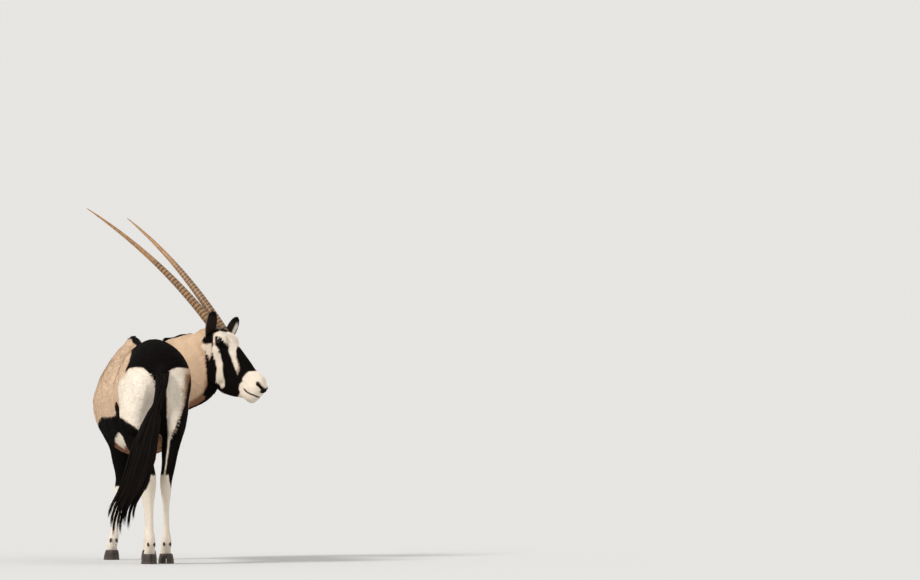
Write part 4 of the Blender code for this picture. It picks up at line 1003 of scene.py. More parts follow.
def flank_and_neck(points):
    """The stripes along the flanks, the crest, the throat and the brisket."""
    x, y, z = points.T
    half = np.interp(y, FLANK_PLACES, FLANK_HALVES)
    flank = half - np.abs(z - np.interp(y, FLANK_PLACES, FLANK_LEVELS))
    rear_end = y - np.interp(z, FLANK_END_LEVELS, FLANK_ENDS)
    flank = least(flank, rear_end, FLANK_FRONT - y, np.abs(x) - FLANK_INNER)
    crest_line = np.array(neck_edge(1)) - np.array((0.0, 0.0, CREST_SAG))
    crest, along_crest, _ = along_line(points, crest_line)
    crest = least(CREST_HALF - crest, CREST_REACH - along_crest)
    throat, down, _ = along_line(points, neck_edge(-1)[::-1] + list(THROAT_END))
    half = THROAT_HALF + 0.030 * fade(down, 0.25, 0.60) + 0.014 * (1.0 - fade(down, 0.0, 0.14))
    folded = np.stack((np.abs(x), y, z), axis=1)
    brisket = BRISKET_HALF - along_line(folded, BRISKET)[0]
    return most(flank, crest, half - throat, brisket)


def black_of_body(points):
    """All the black behind the face."""
    out, ahead, fore = leg_frame(points)
    marks = leg_marks(points, out, ahead, fore)
    return most(back_and_rump(points), thighs(points, out, fore), marks, flank_and_neck(points))


def white_of_body(points):
    """The belly, the fold before the thigh, the lower legs, their inner sides and the buttocks."""
    x, y, z = points.T
    out = leg_frame(points)[0]
    lower_edge = np.interp(y, FLANK_PLACES, FLANK_LEVELS) - np.interp(y, FLANK_PLACES, FLANK_HALVES)
    belly = least(lower_edge - z, band(y, *BELLY_WHITE), z - BELLY_LEVEL)
    fold = least(band(y, *FOLD), FOLD_TOP - z, np.abs(x) - FOLD_INNER)
    inner = least(-out - 0.004, 0.50 - z)
    buttock = np.where(y < REAR_REACH, 0.30 * (buttock_field(points) + 0.006), -1.0)
    return most(belly, fold, WHITE_LEG_TOP - z, inner, buttock)


def painted_shade_of_body(points):
    """Painted shade in brown: under the belly, which is white, on the neck's lower sides round the throat,
    and on the right buttock's edge that turns from the light.
    """
    x, y, z = points.T
    level = BELLY_LEVEL + BELLY_SHADE_RISE[0] * (1.0 - fade(np.abs(x), BELLY_SHADE_RISE[1], BELLY_SHADE_RISE[2]))
    # Painted shade under the belly and on the neck's lower sides
    belly = least(band(z, BELLY_SHADE_LOW, level), band(y, *BELLY_SHADE))
    throat = NECK_SHADE_REACH - along_line(points, neck_edge(-1))[0]
    # Painted shade on the right buttock's edge, away from the light
    edge = least(seen_across(points) - EDGE_SHADE_ACROSS, band(z, *EDGE_SHADE_UP), EDGE_SHADE_FORWARD - y, x - 0.02)
    return most(belly, throat, edge)


def face_fields(h):
    """Black, white and the whole face's edge, from places in the head's axes."""
    view = h[:, [0, 2]]
    face = inside(view, FACE_EDGE)
    forehead = np.abs(h[:, 1]) - np.interp(h[:, 0], FOREHEAD_PLACES, FOREHEAD_HALVES)
    front = np.minimum(inside(view, BROW_AND_FRONT_STRIPE), forehead)
    rear = np.minimum(inside(view, REAR_STRIPE), np.abs(h[:, 1]) - 0.020)
    white = most(front, rear, inside(view, MUZZLE))
    mouth = along_line(view, MOUTH_LINE)[0]
    dark = np.where(h[:, 0] > MOUTH_LINE[0][0], 0.0032 - mouth, -1.0)
    dark = np.maximum(dark, np.minimum(h[:, 0] - NOSE_FRONT[0], h[:, 2] - NOSE_FRONT[1]))
    for side in (-1, 1):
        line = [mirrored(place, side) for place in NOSTRIL_LINE]
        dark = np.maximum(dark, NOSTRIL_DARK - along_line(h, line)[0])
        pit = [mirrored((x - 0.004, y - NOSTRIL_DEPTH, z), side) for x, y, z in NOSTRIL_LINE]
        dark = np.maximum(dark, NOSTRIL_DARK + 0.002 - along_line(h, pit)[0])
        offset = h - np.array(mirrored(EYE_PLACE, side))
        ring_field = (LID_RING - lid_shape(offset)) * LID_OPENING[1]
        dark = np.where(np.linalg.norm(offset, axis=1) < 0.04, np.maximum(dark, ring_field), dark)
    return face, np.minimum(white, -dark)


def paint(thing):
    """Stores the markings, and the painted shade in brown, on a mesh that is still in the axes of the forms.
    """
    points = points_of(thing.data)
    h = to_head(points)
    black = black_of_body(points)
    white = np.minimum(white_of_body(points), -black)
    face, face_white = face_fields(h)
    on_it = (h[:, 0] > -0.14) & (np.abs(h[:, 1]) < 0.14) & (np.abs(h[:, 2] + 0.05) < 0.20)
    on_it &= points[:, 0] > 0.30
    face = np.where(on_it, face, -1.0)
    lobe = np.where(on_it, inside(h[:, [0, 2]], CHEEK_LOBE), -1.0)
    black = np.maximum(np.minimum(black, -face), np.minimum(face, -face_white))
    white = np.maximum(np.minimum(white, -face), np.minimum(face, face_white))
    white = np.maximum(white, np.minimum(lobe, 0.3 * SOFT_EDGE))
    store(thing.data, "black", np.clip(black, -0.05, 0.05))
    store(thing.data, "white", np.clip(white, -0.05, 0.05))
    # The brown field is painted shade
    store(thing.data, "brown", np.clip(painted_shade_of_body(points), -0.05, 0.05))
    along_neck = along_line(points, [place for place, *_ in NECK])[1]
    low = 1.0 - fade(points[:, 2], 0.70, 0.98)
    store(thing.data, "tone", np.clip(0.10 + 0.80 * low - 0.35 * (along_neck > 0.15), 0.0, 1.0))


# The lie of the coat and an unwrap of the skin, part by part

HAIR_FALL = 0.10
TRUNK_LINE = ((0.0, 1.02, 0.80), (0.0, 0.80, 0.80), (0.0, 0.50, 0.80), (0.0, 0.20, 0.83), (0.0, -0.09, 0.88))


def part_lines():
    """The parts' middle lines, from the end the hair grows from, with their rough radius."""
    nose = [tuple(HEAD_TO_BODY @ Vector((a, 0.0, -0.05))) for a in (0.32, 0.22, 0.12, 0.02, -0.10)]
    neck = [place for place, *_ in NECK][::-1]
    lines = {"head": (nose, 0.075), "neck": (neck[:-2], 0.15), "trunk": (TRUNK_LINE, 0.25)}
    for name, _, stations in legs():
        radius = 0.085 if name.startswith("fore") else 0.095
        lines[name] = ([place for place, *_ in stations[2:]], radius)
    lines["dock"] = ([place for place, _ in DOCK[1:]], 0.03)
    return lines


def comb(points, normals):
    """The way the hair lies at each place, along the skin, and the number of the place's part."""
    total = np.zeros_like(points)
    gaps = []
    for line, radius in part_lines().values():
        distance, _, way = along_line(points, line)
        total += way * (np.exp(-2.5 * (distance / radius) ** 2) + 1e-12)[:, None]
        gaps.append(distance / radius)
    total[:, 2] -= HAIR_FALL
    total -= normals * (total * normals).sum(axis=1)[:, None]
    total /= np.maximum(np.linalg.norm(total, axis=1), 1e-9)[:, None]
    return total, np.argmin(np.array(gaps), axis=0)


def unwrap(thing, name):
    """A flat map in metres: round each part's middle line, and along it, cut where it meets itself."""
    mesh = thing.data
    points = points_of(mesh)
    faces = corners_of(mesh).reshape(-1, 3)
    centres = points[faces].mean(axis=1)
    part = comb(centres, np.zeros_like(centres) + np.array((0.0, 0.0, 1e-9)))[1]
    flat = np.zeros((len(faces), 3, 2))
    for k, (line, radius) in enumerate(part_lines().values()):
        mine = np.flatnonzero(part == k)
        if len(mine) == 0:
            continue
        turn, reach = round_line(points[faces[mine]].reshape(-1, 3), line)
        turn = turn.reshape(-1, 3)
        middle = round_line(centres[mine], line)[0]
        turn = middle[:, None] + (turn - middle[:, None] + math.pi) % (2.0 * math.pi) - math.pi
        flat[mine, :, 0] = turn * radius
        flat[mine, :, 1] = reach.reshape(-1, 3)
    layer = mesh.uv_layers.new(name=name)
    layer.data.foreach_set("uv", flat.astype(np.float32).ravel())
    return part


def round_line(points, line):
    """The turn of each place round a bent line, and how far along it lies."""
    line = np.array(line, dtype=float)
    reach = along_line(points, line)[1]
    steps = np.concatenate(([0.0], np.cumsum(np.linalg.norm(np.diff(line, axis=0), axis=1))))
    foot = np.stack([np.interp(reach, steps, line[:, k]) for k in range(3)], axis=1)
    main = line[-1] - line[0]
    main /= np.linalg.norm(main)
    guide = np.array((1.0, 0.0, 0.0)) if abs(main[0]) < 0.7 else np.array((0.0, 1.0, 0.0))
    side = np.cross(main, guide)
    side /= np.linalg.norm(side)
    over = np.cross(side, main)
    offset = points - foot
    return np.arctan2(offset @ side, offset @ over), reach


# Horns, eyes, ears and hooves

HORN_SIDES = 28
HORN_RINGS = 25
HORN_STEPS_PER_RING = 6
HORN_RING_HEIGHT = 0.075


def horn_centre(t, side):
    """A place on a horn's axis, from root (0) to tip (1), in the head's axes."""
    root, length, rise, sag, spread, flare = HORNS[side]
    up = length * (rise * t - sag * t * t)
    out = spread * t + flare * t * t
    return Vector((root.x - length * t, side * (root.y + out), root.z + up))


def shape_horn(name, side):
    """A long, slightly arched horn with worn rings on its lower half and a smooth tip."""
    dice = np.random.default_rng(31 + side)
    heights = dice.uniform(0.75, 1.2, HORN_RINGS + 2)
    ringed = np.linspace(0.0, HORN_RING_SHARE, HORN_RINGS * HORN_STEPS_PER_RING + 1)
    steps = np.concatenate((ringed, np.linspace(HORN_RING_SHARE, 1.0, 44)[1:]))
    rings = []
    for t in steps:
        radius = HORN_ROOT_RADIUS * (1.0 - t) ** 0.72 + HORN_TIP_RADIUS * (1.0 - 0.5 * t)
        place = t / HORN_RING_SHARE * HORN_RINGS
        rise = 0.5 - 0.5 * math.cos(2.0 * math.pi * (place + 0.12 * math.sin(2.0 * math.pi * place)))
        fading = max(1.0 - (t / HORN_RING_SHARE) ** 3, 0.0)
        bulge = HORN_RING_HEIGHT * rise**0.8 * fading * heights[int(place) % (HORN_RINGS + 2)]
        centre = horn_centre(t, side)
        along = (horn_centre(t + 0.01, side) - horn_centre(t - 0.01, side)).normalized()
        across = along.cross(UP).normalized()
        up = across.cross(along).normalized()
        points = []
        for i in range(HORN_SIDES):
            turn = 2.0 * math.pi * i / HORN_SIDES
            lean = 1.0 + bulge * (0.75 + 0.25 * math.cos(turn)) + 0.010 * math.sin(5.0 * turn) * fading
            reach = radius * lean
            points.append(centre + across * (reach * math.cos(turn)) + up * (reach * math.sin(turn)))
        rings.append(points)
    shaft = loft(name, rings)
    root, length = HORNS[side][:2]
    store(shaft.data, "reach", np.clip((root.x - points_of(shaft.data)[:, 0]) / length, 0.0, 1.0))
    return set_on_head(shaft)


PUPIL_SHAPE = 0.62


def shape_eye(name, side):
    """The ball of the eye, with the clear front swelling a little."""
    work = bmesh.new()
    bmesh.ops.create_uvsphere(work, u_segments=48, v_segments=32, radius=EYE_RADIUS)
    ball = object_of(name, work)
    x, y, z = points_of(ball.data).T
    store(ball.data, "pupil", np.hypot(x * PUPIL_SHAPE, y) + 0.1 * (z < 0.0))
    turn = Matrix.Rotation(math.radians(-90.0 * side), 4, "X")
    ball.data.transform(Matrix.Translation(mirrored(EYE_PLACE, side)) @ turn)
    return set_on_head(ball)


LID_POINTS = 64
# The section of the lids' rim: size against the opening, and how far off the eyeball
LID_PROFILE = (
    (0.90, 0.0004), (0.93, 0.0020), (1.00, 0.0032), (1.10, 0.0034), (1.22, 0.0024), (1.36, 0.0000),
    (1.34, -0.0030), (1.14, -0.0030), (0.96, -0.0024),
)


def shape_lids(name, side):
    """The rims of both lids: a soft almond roll on the eyeball that runs out into the skin."""
    eye = Vector(mirrored(EYE_PLACE, side))
    wide, high = LID_OPENING
    rings = []
    count = LID_POINTS
    for i in range(count):
        turn = 2.0 * math.pi * i / count
        upper = math.sin(turn) > 0.0
        section = []
        for grow, lift in LID_PROFILE:
            x = wide * grow * math.cos(turn)
            z = high * grow * math.copysign(abs(math.sin(turn)) ** 1.3, math.sin(turn))
            along = x * math.cos(LID_SLANT) - z * math.sin(LID_SLANT)
            up = x * math.sin(LID_SLANT) + z * math.cos(LID_SLANT)
            flat = min(along**2 + up**2, (EYE_RADIUS * 0.999) ** 2)
            ball = math.sqrt(EYE_RADIUS**2 - flat)
            lift_here = lift * (1.25 if upper else 0.9)
            direction = Vector((along, side * ball, up)).normalized()
            section.append(eye + direction * (EYE_RADIUS + lift_here))
        rings.append(section)
    points = [point for section in rings for point in section]
    width = len(LID_PROFILE)
    faces = []
    for i in range(count):
        j = (i + 1) % count
        for k in range(width):
            m = (k + 1) % width
            faces.append((i * width + k, j * width + k, j * width + m, i * width + m))
    return set_on_head(mesh_object(name, points, faces))


# Which edge of each cup, as it is built, is the outer one
EAR_OUTER = {"ear_left": 1.0, "ear_right": -0.45}


def ear_outline(t):
    """Share of the ear's full width, from its narrow root to its pointed tip."""
    return max(0.42 + 1.05 * t - 0.35 * t * t, 0.0) * math.sqrt(max(1.0 - t**2.4, 0.004))


def ear_frame(name, side):
    """An ear's root, the ways along it, out of its cup and across it, and its length."""
    root, tip = mirrored(EAR_ROOT[name], side), mirrored(EAR_TIP[name], side)
    along = (tip - root).normalized()
    facing = Vector(EAR_FACING[name])
    facing = (facing - along * facing.dot(along)).normalized()
    return root, along, facing, along.cross(facing).normalized(), (tip - root).length


def ear_place(frame_of_ear, t, s, lift):
    """A place on the ear: t from root to tip, s across it from -1 to 1, lifted off its middle sheet."""
    root, along, facing, across, length = frame_of_ear
    half = EAR_WIDTH / 2 * ear_outline(t)
    bow = EAR_DEPTH * (1.0 - 0.55 * t) * (1.0 - s * s)
    place = root + along * (t * length) + across * (s * half * (1.0 - 0.15 * bow / EAR_DEPTH))
    return place - facing * (bow - lift)


def shape_ear(name, side):
    """A leaf-shaped cup with a rolled rim, open to the front and outwards."""
    frame_of_ear = ear_frame(name, side)
    rows, columns = 26, 18
    outer, inner, reach, across = [], [], [], []
    for r in range(rows):
        t = r / (rows - 1)
        for c in range(columns + 1):
            s = 2.0 * c / columns - 1.0
            wall = EAR_WALL * (1.0 - 0.55 * abs(s) ** 3) * (1.0 - 0.5 * t)
            fold = 0.0010 * math.sin(s * 9.0) * (1.0 - t) * (1.0 - abs(s))
            outer.append(ear_place(frame_of_ear, t, s, -wall / 2))
            inner.append(ear_place(frame_of_ear, t, s, wall / 2 + fold))
            reach.append(t)
            across.append(s * EAR_OUTER[name])
    width = columns + 1
    total = rows * width
    faces = []
    for r in range(rows - 1):
        for c in range(columns):
            a = r * width + c
            faces.append((a, a + 1, a + width + 1, a + width))
            faces.append((total + a, total + a + width, total + a + width + 1, total + a + 1))
    rim = list(range(width))
    rim += [r * width + columns for r in range(1, rows)]
    rim += [(rows - 1) * width + c for c in range(columns - 1, -1, -1)]
    rim += [r * width for r in range(rows - 2, 0, -1)]
    for i, a in enumerate(rim):
        b = rim[(i + 1) % len(rim)]
        faces.append((a, b, total + b, total + a))
    cup = mesh_object(name, outer + inner, faces)
    store(cup.data, "reach", np.array(reach + reach))
    store(cup.data, "across", np.array(across + across))
    store(cup.data, "within", np.array([0.0] * total + [1.0] * total))
    return set_on_head(cup)


HOOF_POINTS = 30
# Sections of a hoof: level, size and how far forward
HOOF_LEVELS = (
    (0.0, 0.93, 0.0), (0.0012, 0.985, 0.0), (0.004, 1.0, 0.0), (0.014, 0.965, -0.0015),
    (0.026, 0.925, -0.004), (0.037, 0.86, -0.0065), (0.044, 0.815, -0.0085), (0.0472, 0.74, -0.009),
)


def shape_hoof(name, foot, side):
    """Two claws, flat below, parted by a cleft, each rounded at the heel and pointed at the toe."""
    x, y, _ = foot
    claws = []
    for claw in (-1, 1):
        rings = []
        for level, grow, shift in HOOF_LEVELS:
            points = []
            for i in range(HOOF_POINTS):
                turn = 2.0 * math.pi * i / HOOF_POINTS
                ahead, across = math.sin(turn), math.cos(turn)
                narrow = 1.0 - HOOF_TOE_TAPER * max(ahead, 0.0) ** 1.6
                wide = HOOF_HALF * grow * narrow
                reach = HOOF_MIDDLE + shift + ahead * HOOF_LENGTH / 2 * grow
                cleft = 0.0012 + 0.0022 * fade(np.array([reach]), 0.0, 0.07)[0]
                inner = across * wide * claw
                points.append(Vector((claw * max(inner, cleft), reach, level)))
            rings.append(points)
        claws.append(loft("claw", rings))
    shoe = join(name, claws)
    with opened(shoe) as work:
        bmesh.ops.remove_doubles(work, verts=work.verts, dist=0.00005)
        bmesh.ops.dissolve_degenerate(work, edges=work.edges, dist=0.00005)
    shoe.data.transform(Matrix.Translation((x, y, 0.0)) @ Matrix.Rotation(side * HOOF_TOE_OUT, 4, "Z"))
    close_and_split(shoe)
    return settle(shoe)


def shape_dewclaws(name, foot):
    """The two small claws behind a fetlock."""
    x, y, _ = foot
    claws = []
    for out in (-1, 1):
        rings = []
        for k in range(9):
            t = k / 8
            radius = 0.0064 * math.sin(math.pi * (0.16 + 0.80 * t)) ** 0.8
            behind, level = y - 0.024 - 0.008 * t, FETLOCK - 0.006 - 0.022 * t
            centre = Vector((x + out * (0.0130 + 0.003 * t), behind, level))
            round_it = (radius, radius * 0.85, radius * 0.85)
            rings.append(ring(centre, Vector((1.0, 0.0, 0.0)), FORWARD, *round_it, count=16))
        claws.append(loft("dewclaw", rings))
    pair = join(name, claws)
    turn_outwards(pair)
    close_and_split(pair)
    return settle(pair)


# Long hair: the tail, the mane and the withers

LOCK_SIDES = 4


def locks_mesh(name, paths, widths, thickness, across, tones):
    """Many flat tapered locks in one mesh. Paths are (locks, places, 3), and each ends in a point."""
    count, steps, _ = paths.shape
    along = np.empty_like(paths)
    along[:, 1:-1] = paths[:, 2:] - paths[:, :-2]
    along[:, 0] = paths[:, 1] - paths[:, 0]
    along[:, -1] = paths[:, -1] - paths[:, -2]
    along /= np.maximum(np.linalg.norm(along, axis=2, keepdims=True), 1e-9)
    side = across - along * (across * along).sum(axis=2, keepdims=True)
    side /= np.maximum(np.linalg.norm(side, axis=2, keepdims=True), 1e-9)
    face = np.cross(along, side)
    half = widths[:, :-1, None] / 2
    body = paths[:, :-1]
    section = np.stack((
        body + side[:, :-1] * half,
        body + face[:, :-1] * half * thickness,
        body - side[:, :-1] * half,
        body - face[:, :-1] * half * thickness,
    ), axis=2)
    per_lock = (steps - 1) * LOCK_SIDES + 1
    points = np.concatenate((section.reshape(count, -1, 3), paths[:, -1:]), axis=1)
    faces = []
    for k in range(steps - 2):
        for i in range(LOCK_SIDES):
            a, b = k * LOCK_SIDES + i, k * LOCK_SIDES + (i + 1) % LOCK_SIDES
            faces += [(a, b, b + LOCK_SIDES), (a, b + LOCK_SIDES, a + LOCK_SIDES)]
    last = (steps - 2) * LOCK_SIDES
    tip = (steps - 1) * LOCK_SIDES
    for i in range(LOCK_SIDES):
        faces.append((last + i, last + (i + 1) % LOCK_SIDES, tip))
    faces += [(0, 2, 1), (0, 3, 2)]
    faces = np.array(faces)[None] + (np.arange(count) * per_lock)[:, None, None]
    mesh = bpy.data.meshes.new(name)
    mesh.vertices.add(count * per_lock)
    mesh.vertices.foreach_set("co", points.astype(np.float32).ravel())
    flat = faces.reshape(-1, 3)
    mesh.loops.add(flat.size)
    mesh.loops.foreach_set("vertex_index", flat.astype(np.int32).ravel())
    mesh.polygons.add(len(flat))
    mesh.polygons.foreach_set("loop_start", np.arange(0, flat.size, 3, dtype=np.int32))
    mesh.update(calc_edges=True)
    store(mesh, "tone", np.repeat(tones, per_lock))
    reach = np.repeat(np.linspace(0.0, 1.0, steps)[None], count, axis=0)
    reach = np.concatenate((np.repeat(reach[:, :-1], LOCK_SIDES, axis=1), reach[:, -1:]), axis=1)
    store(mesh, "reach", reach.ravel())
    patch_map(mesh, count, len(flat) // count, reach.ravel())
    thing = turn_outwards(linked(name, mesh))
    thing.data.shade_smooth()
    return thing


def patch_map(mesh, count, faces_each, reach):
    """Gives each lock its own strip of the map, laid out in rows."""
    columns = int(math.ceil(math.sqrt(count * 6.0)))
    rows = int(math.ceil(count / columns))
    corner = corners_of(mesh)
    lock_of = np.repeat(np.arange(count), faces_each * 3)
    within = corner % LOCK_SIDES
    u = (lock_of % columns + 0.15 + 0.7 * within / (LOCK_SIDES - 1)) / columns
    v = (lock_of // columns + 0.05 + 0.9 * reach[corner]) / rows
    layer = mesh.uv_layers.new(name="OFBake")
    layer.data.foreach_set("uv", np.stack((u, v), axis=1).astype(np.float32).ravel())


TAIL_LOCKS = 860
TAIL_STEPS = 14
# The tail's hair from behind: how high, where its middle is and half its width
TAIL_LEVELS = (0.100, 0.200, 0.290, 0.350, 0.420, 0.500, 0.570, 0.640, 0.690, 0.740, 0.830)
TAIL_MIDDLES = (-0.236, -0.206, -0.178, -0.158, -0.134, -0.108, -0.092, -0.072, -0.058, -0.043, -0.022)
TAIL_HALVES = (0.056, 0.058, 0.058, 0.060, 0.063, 0.064, 0.055, 0.045, 0.036, 0.026, 0.018)
# Where the hair gathers in pointed wisps: across, up and back
WISPS = (
    (-0.266, 0.215, -0.130), (-0.256, 0.170, -0.145), (-0.244, 0.128, -0.128), (-0.227, 0.155, -0.145),
    (-0.211, 0.132, -0.120), (-0.194, 0.176, -0.140), (-0.174, 0.162, -0.126), (-0.151, 0.205, -0.136),
)
WISP_TOP = 0.370


def shape_tail_hair():
    """The tail's long locks, which leave the dock, open out, overlap and gather in pointed wisps."""
    dice = np.random.default_rng(7)
    dock = smooth_rows([(*place, radius) for place, radius in DOCK], 8)[::-1]
    paths = np.zeros((TAIL_LOCKS, TAIL_STEPS, 3))
    widths = np.zeros((TAIL_LOCKS, TAIL_STEPS))
    along = np.linspace(0.0, 1.0, TAIL_STEPS)
    for i in range(TAIL_LOCKS):
        top = 0.640 + 0.170 * dice.random()
        lane = dice.uniform(-0.97, 0.97)
        deep = dice.uniform(-1.0, 1.0) * math.sqrt(1.0 - 0.8 * lane * lane)
        wisp = WISPS[min(int((lane + 1.0) / 2.0 * len(WISPS)), len(WISPS) - 1)]
        whole = dice.random() < 0.42
        spare = 0.035 * dice.random() if whole else 0.02 + 0.36 * dice.random() ** 1.3
        end = wisp[1] + spare
        level = top + (end - top) * along
        wave = dice.uniform(0.0, 0.09) * np.sin(dice.uniform(0.0, 6.28) + 6.0 * along)
        open_out = np.minimum(0.25 + 1.6 * (top - level) / 0.20, 1.0)
        half = np.interp(level, TAIL_LEVELS, TAIL_HALVES)
        x = np.interp(level, TAIL_LEVELS, TAIL_MIDDLES) + (lane * open_out + wave) * half
        y = -0.132 + deep * open_out * half * TAIL_THICKNESS + 0.3 * wave * half
        y += 0.020 * fade(level, 0.66, 0.80)
        gather = fade(WISP_TOP - level, 0.0, WISP_TOP - wisp[1])
        x += (wisp[0] + dice.normal(0.0, 0.0035) - x) * gather
        y += (wisp[2] + dice.normal(0.0, 0.0060) - y) * gather
        root = np.array([np.interp(top, dock[:, 2], dock[:, j]) for j in (0, 1)])
        leave_dock = 1.0 - fade(along, 0.0, 0.16)
        x += (root[0] + 0.5 * (x - root[0]) - x) * leave_dock
        y += (root[1] + 0.5 * (y - root[1]) - y) * leave_dock
        paths[i] = np.stack((x, y, level), axis=1)
        slim = 1.0 - 0.55 * fade(0.34 - level, 0.0, 0.16)
        thick = 0.0052 + 0.0042 * np.sin(math.pi * np.minimum(along + 0.1, 1.0))
        widths[i] = thick * (1.0 - 0.65 * along) * slim
    across = np.zeros_like(paths) + np.array((1.0, 0.1, 0.3))
    across[:, :, 1] += dice.normal(0.0, 0.35, (TAIL_LOCKS, 1))
    return settle(locks_mesh("tail_hair", paths, widths, 0.38, across, dice.random(TAIL_LOCKS)))


DOCK_LOCKS = 520


def shape_dock_hair():
    """Shorter hair that lies close along the dock, from the rump down."""
    dice = np.random.default_rng(8)
    dock = smooth_rows([(*place, radius) for place, radius in DOCK], 8)
    spots = np.linspace(0, 1, len(dock))
    steps = 7
    paths = np.zeros((DOCK_LOCKS, steps, 3))
    widths = np.zeros((DOCK_LOCKS, steps))
    across = np.zeros_like(paths)
    for i in range(DOCK_LOCKS):
        start = 0.10 + 0.74 * dice.random()
        length = 0.16 + 0.10 * dice.random()
        angle = dice.uniform(0.0, 2.0 * math.pi)
        for k in range(steps):
            s = k / (steps - 1)
            t = min(start + length * s, 1.0)
            place = np.array([np.interp(t, spots, dock[:, j]) for j in range(4)])
            lift = place[3] - 0.002 + 0.0055 * math.sin(math.pi * min(s + 0.05, 1.0)) + 0.002 * s
            way = np.array((math.cos(angle), math.sin(angle), 0.25 * math.sin(angle)))
            paths[i, k] = place[:3] + way * lift
            widths[i, k] = 0.0065 * (1.0 - 0.7 * s)
            across[i, k] = (-math.sin(angle), math.cos(angle), 0.0)
    return settle(locks_mesh("dock_hair", paths, widths, 0.35, across, dice.random(DOCK_LOCKS)))


MANE_LOCKS = 620
MANE_LENGTH = 0.026
MANE_AHEAD = 0.020
MANE_SEARCH = 0.040
WITHERS_TUFT = 0.11
WITHERS = ((0.0, 0.815, 1.052), (0.0, 0.880, 1.045))


def on_skin(tree, place, up):
    """The skin's place below a place over it, in the axes of the forms."""
    if tree is None:
        return place
    start = Vector(place) + SHIFT + Vector(up) * MANE_SEARCH
    found = tree.ray_cast(start, -Vector(up), 2.0 * MANE_SEARCH)[0]
    return place if found is None else np.array(found - SHIFT)


def shape_mane():
    """Short locks that lie back close along the crest, with a fuller tuft on the withers."""
    dice = np.random.default_rng(9)
    skin = bpy.data.objects.get("skin")
    tree = BVHTree.FromObject(skin, bpy.context.evaluated_depsgraph_get()) if skin else None
    crest = np.array([*WITHERS, *neck_edge(1)[3:]])
    lengths = np.concatenate(([0.0], np.cumsum(np.linalg.norm(np.diff(crest, axis=0), axis=1))))
    steps = 5
    paths = np.zeros((MANE_LOCKS, steps, 3))
    widths = np.zeros((MANE_LOCKS, steps))
    across = np.zeros_like(paths)
    for i in range(MANE_LOCKS):
        reach = dice.random() * (lengths[-1] - MANE_AHEAD)
        full = 1.0 - fade(reach, 0.4 * WITHERS_TUFT, WITHERS_TUFT)
        place = np.array([np.interp(reach, lengths, crest[:, j]) for j in range(3)])
        ahead = np.array([np.interp(reach + MANE_AHEAD, lengths, crest[:, j]) for j in range(3)])
        along = (ahead - place) / np.linalg.norm(ahead - place)
        side = np.cross(along, UP)
        side /= np.linalg.norm(side)
        up = np.cross(side, along)
        off = dice.normal(0.0, 0.30)
        size = MANE_LENGTH * dice.uniform(0.75, 1.15) * (1.0 + 0.25 * full)
        rise = 0.20 + 0.12 * full + dice.uniform(-0.06, 0.08)
        place = on_skin(tree, place, up)
        root = place + up * (0.0010 - 0.003 * abs(off)) + side * off * 0.014
        sway = dice.normal(0.0, 0.10)
        for k in range(steps):
            s = k / (steps - 1)
            lift = up * size * (rise * s - 0.5 * rise * s * s)
            paths[i, k] = root + lift - along * size * s + side * (off * 0.2 + sway) * s * size
            widths[i, k] = 0.0050 * (1.0 - 0.6 * s)
            across[i, k] = side + along * 0.4 * sway
    return settle(locks_mesh("mane", paths, widths, 0.35, across, dice.random(MANE_LOCKS)))


# Colours, as screen values, each with its label and what it is on

COLOURS = {
    "tan": ((214, 187, 158), "Tan coat", "Sides of the body"),
    "tan_low": ((202, 174, 147), "Low tan", "Lower sides and the neck's underside"),
    # Painted shade: how the white belly, the neck's lower sides and the right buttock's edge look in shade
    "white": ((236, 226, 211), "White coat", "Belly, buttocks, legs and the face's stripes"),
    # The black also paints shade: in the cleft by the tail, on the thighs' inner sides and up the right
    # buttock's edge
    "brown": ((138, 100, 74), "Painted underside shade", "Painted shade on the belly, the neck's lower sides and the right buttock's edge"),
    "black": ((13, 10, 9), "Black coat", "Rump, back, flank stripe, throat and face"),
    "horn": ((150, 114, 76), "Horn", "Sides of the horns"),
    "horn_dark": ((52, 37, 25), "Dark horn", "Hollows between the horn's rings"),
    "horn_tip": ((160, 120, 78), "Horn tip", "Upper half of the horns"),
    "hoof": ((44, 36, 31), "Hoof", "Horn of the hooves"),
    "ear": ((62, 46, 36), "Ear", "Back of the ears"),
    # Dark hair inside the ears, with painted shade of the cup's hollow
    "ear_inner": ((38, 29, 24), "Inner ear with painted shade", "Inside of the ears"),
    "eye": ((34, 21, 13), "Iris", "Iris round the pupil"),
    "floor": ((202, 202, 201), "Floor", "Plain studio floor"),
}
# Small second colours, as screen values
HOOF_WORN = (74, 60, 50)
DUST = (120, 100, 80)
IRIS_RAYS = (62, 40, 24)
EYE_RIM = (34, 24, 20)
BARE_SKIN = ((12, 10, 9), (26, 20, 18))
FLOOR_SPOTS = (198, 198, 197)
SKY = (238, 236, 233)
# Shares by which colours are darkened, some of them as painted shade, and colours as the shaders take them
# Painted shade in the hollows between the short hairs
FUR_HOLLOW_SHADE = (0.80, 0.77, 0.74, 1.0)
# Painted shade at each tuft's root, under its neighbours
TUFT_ROOT_SHADE = (0.90, 0.88, 0.86, 1.0)
TUFT_CHANGE = (0.90, 0.86, 0.81, 1.0)
EAR_CHANGE = (0.72, 0.70, 0.68, 1.0)
WARM_HAIR = (0.012, 0.008, 0.006, 1.0)
HAIR_TIP = (0.065, 0.038, 0.022, 1.0)
PUPIL = (0.002, 0.002, 0.002, 1.0)
# Fineness of the short hair and of its clumps: across it, along it
HAIR_SCALE = (620.0, 75.0, 1.0)
CLUMP_SCALE = (120.0, 26.0, 1.0)
# Radii of the pupil's and the iris's soft edges
PUPIL_EDGE = (0.0042, 0.0052)
IRIS_EDGE = (0.0098, 0.0118)


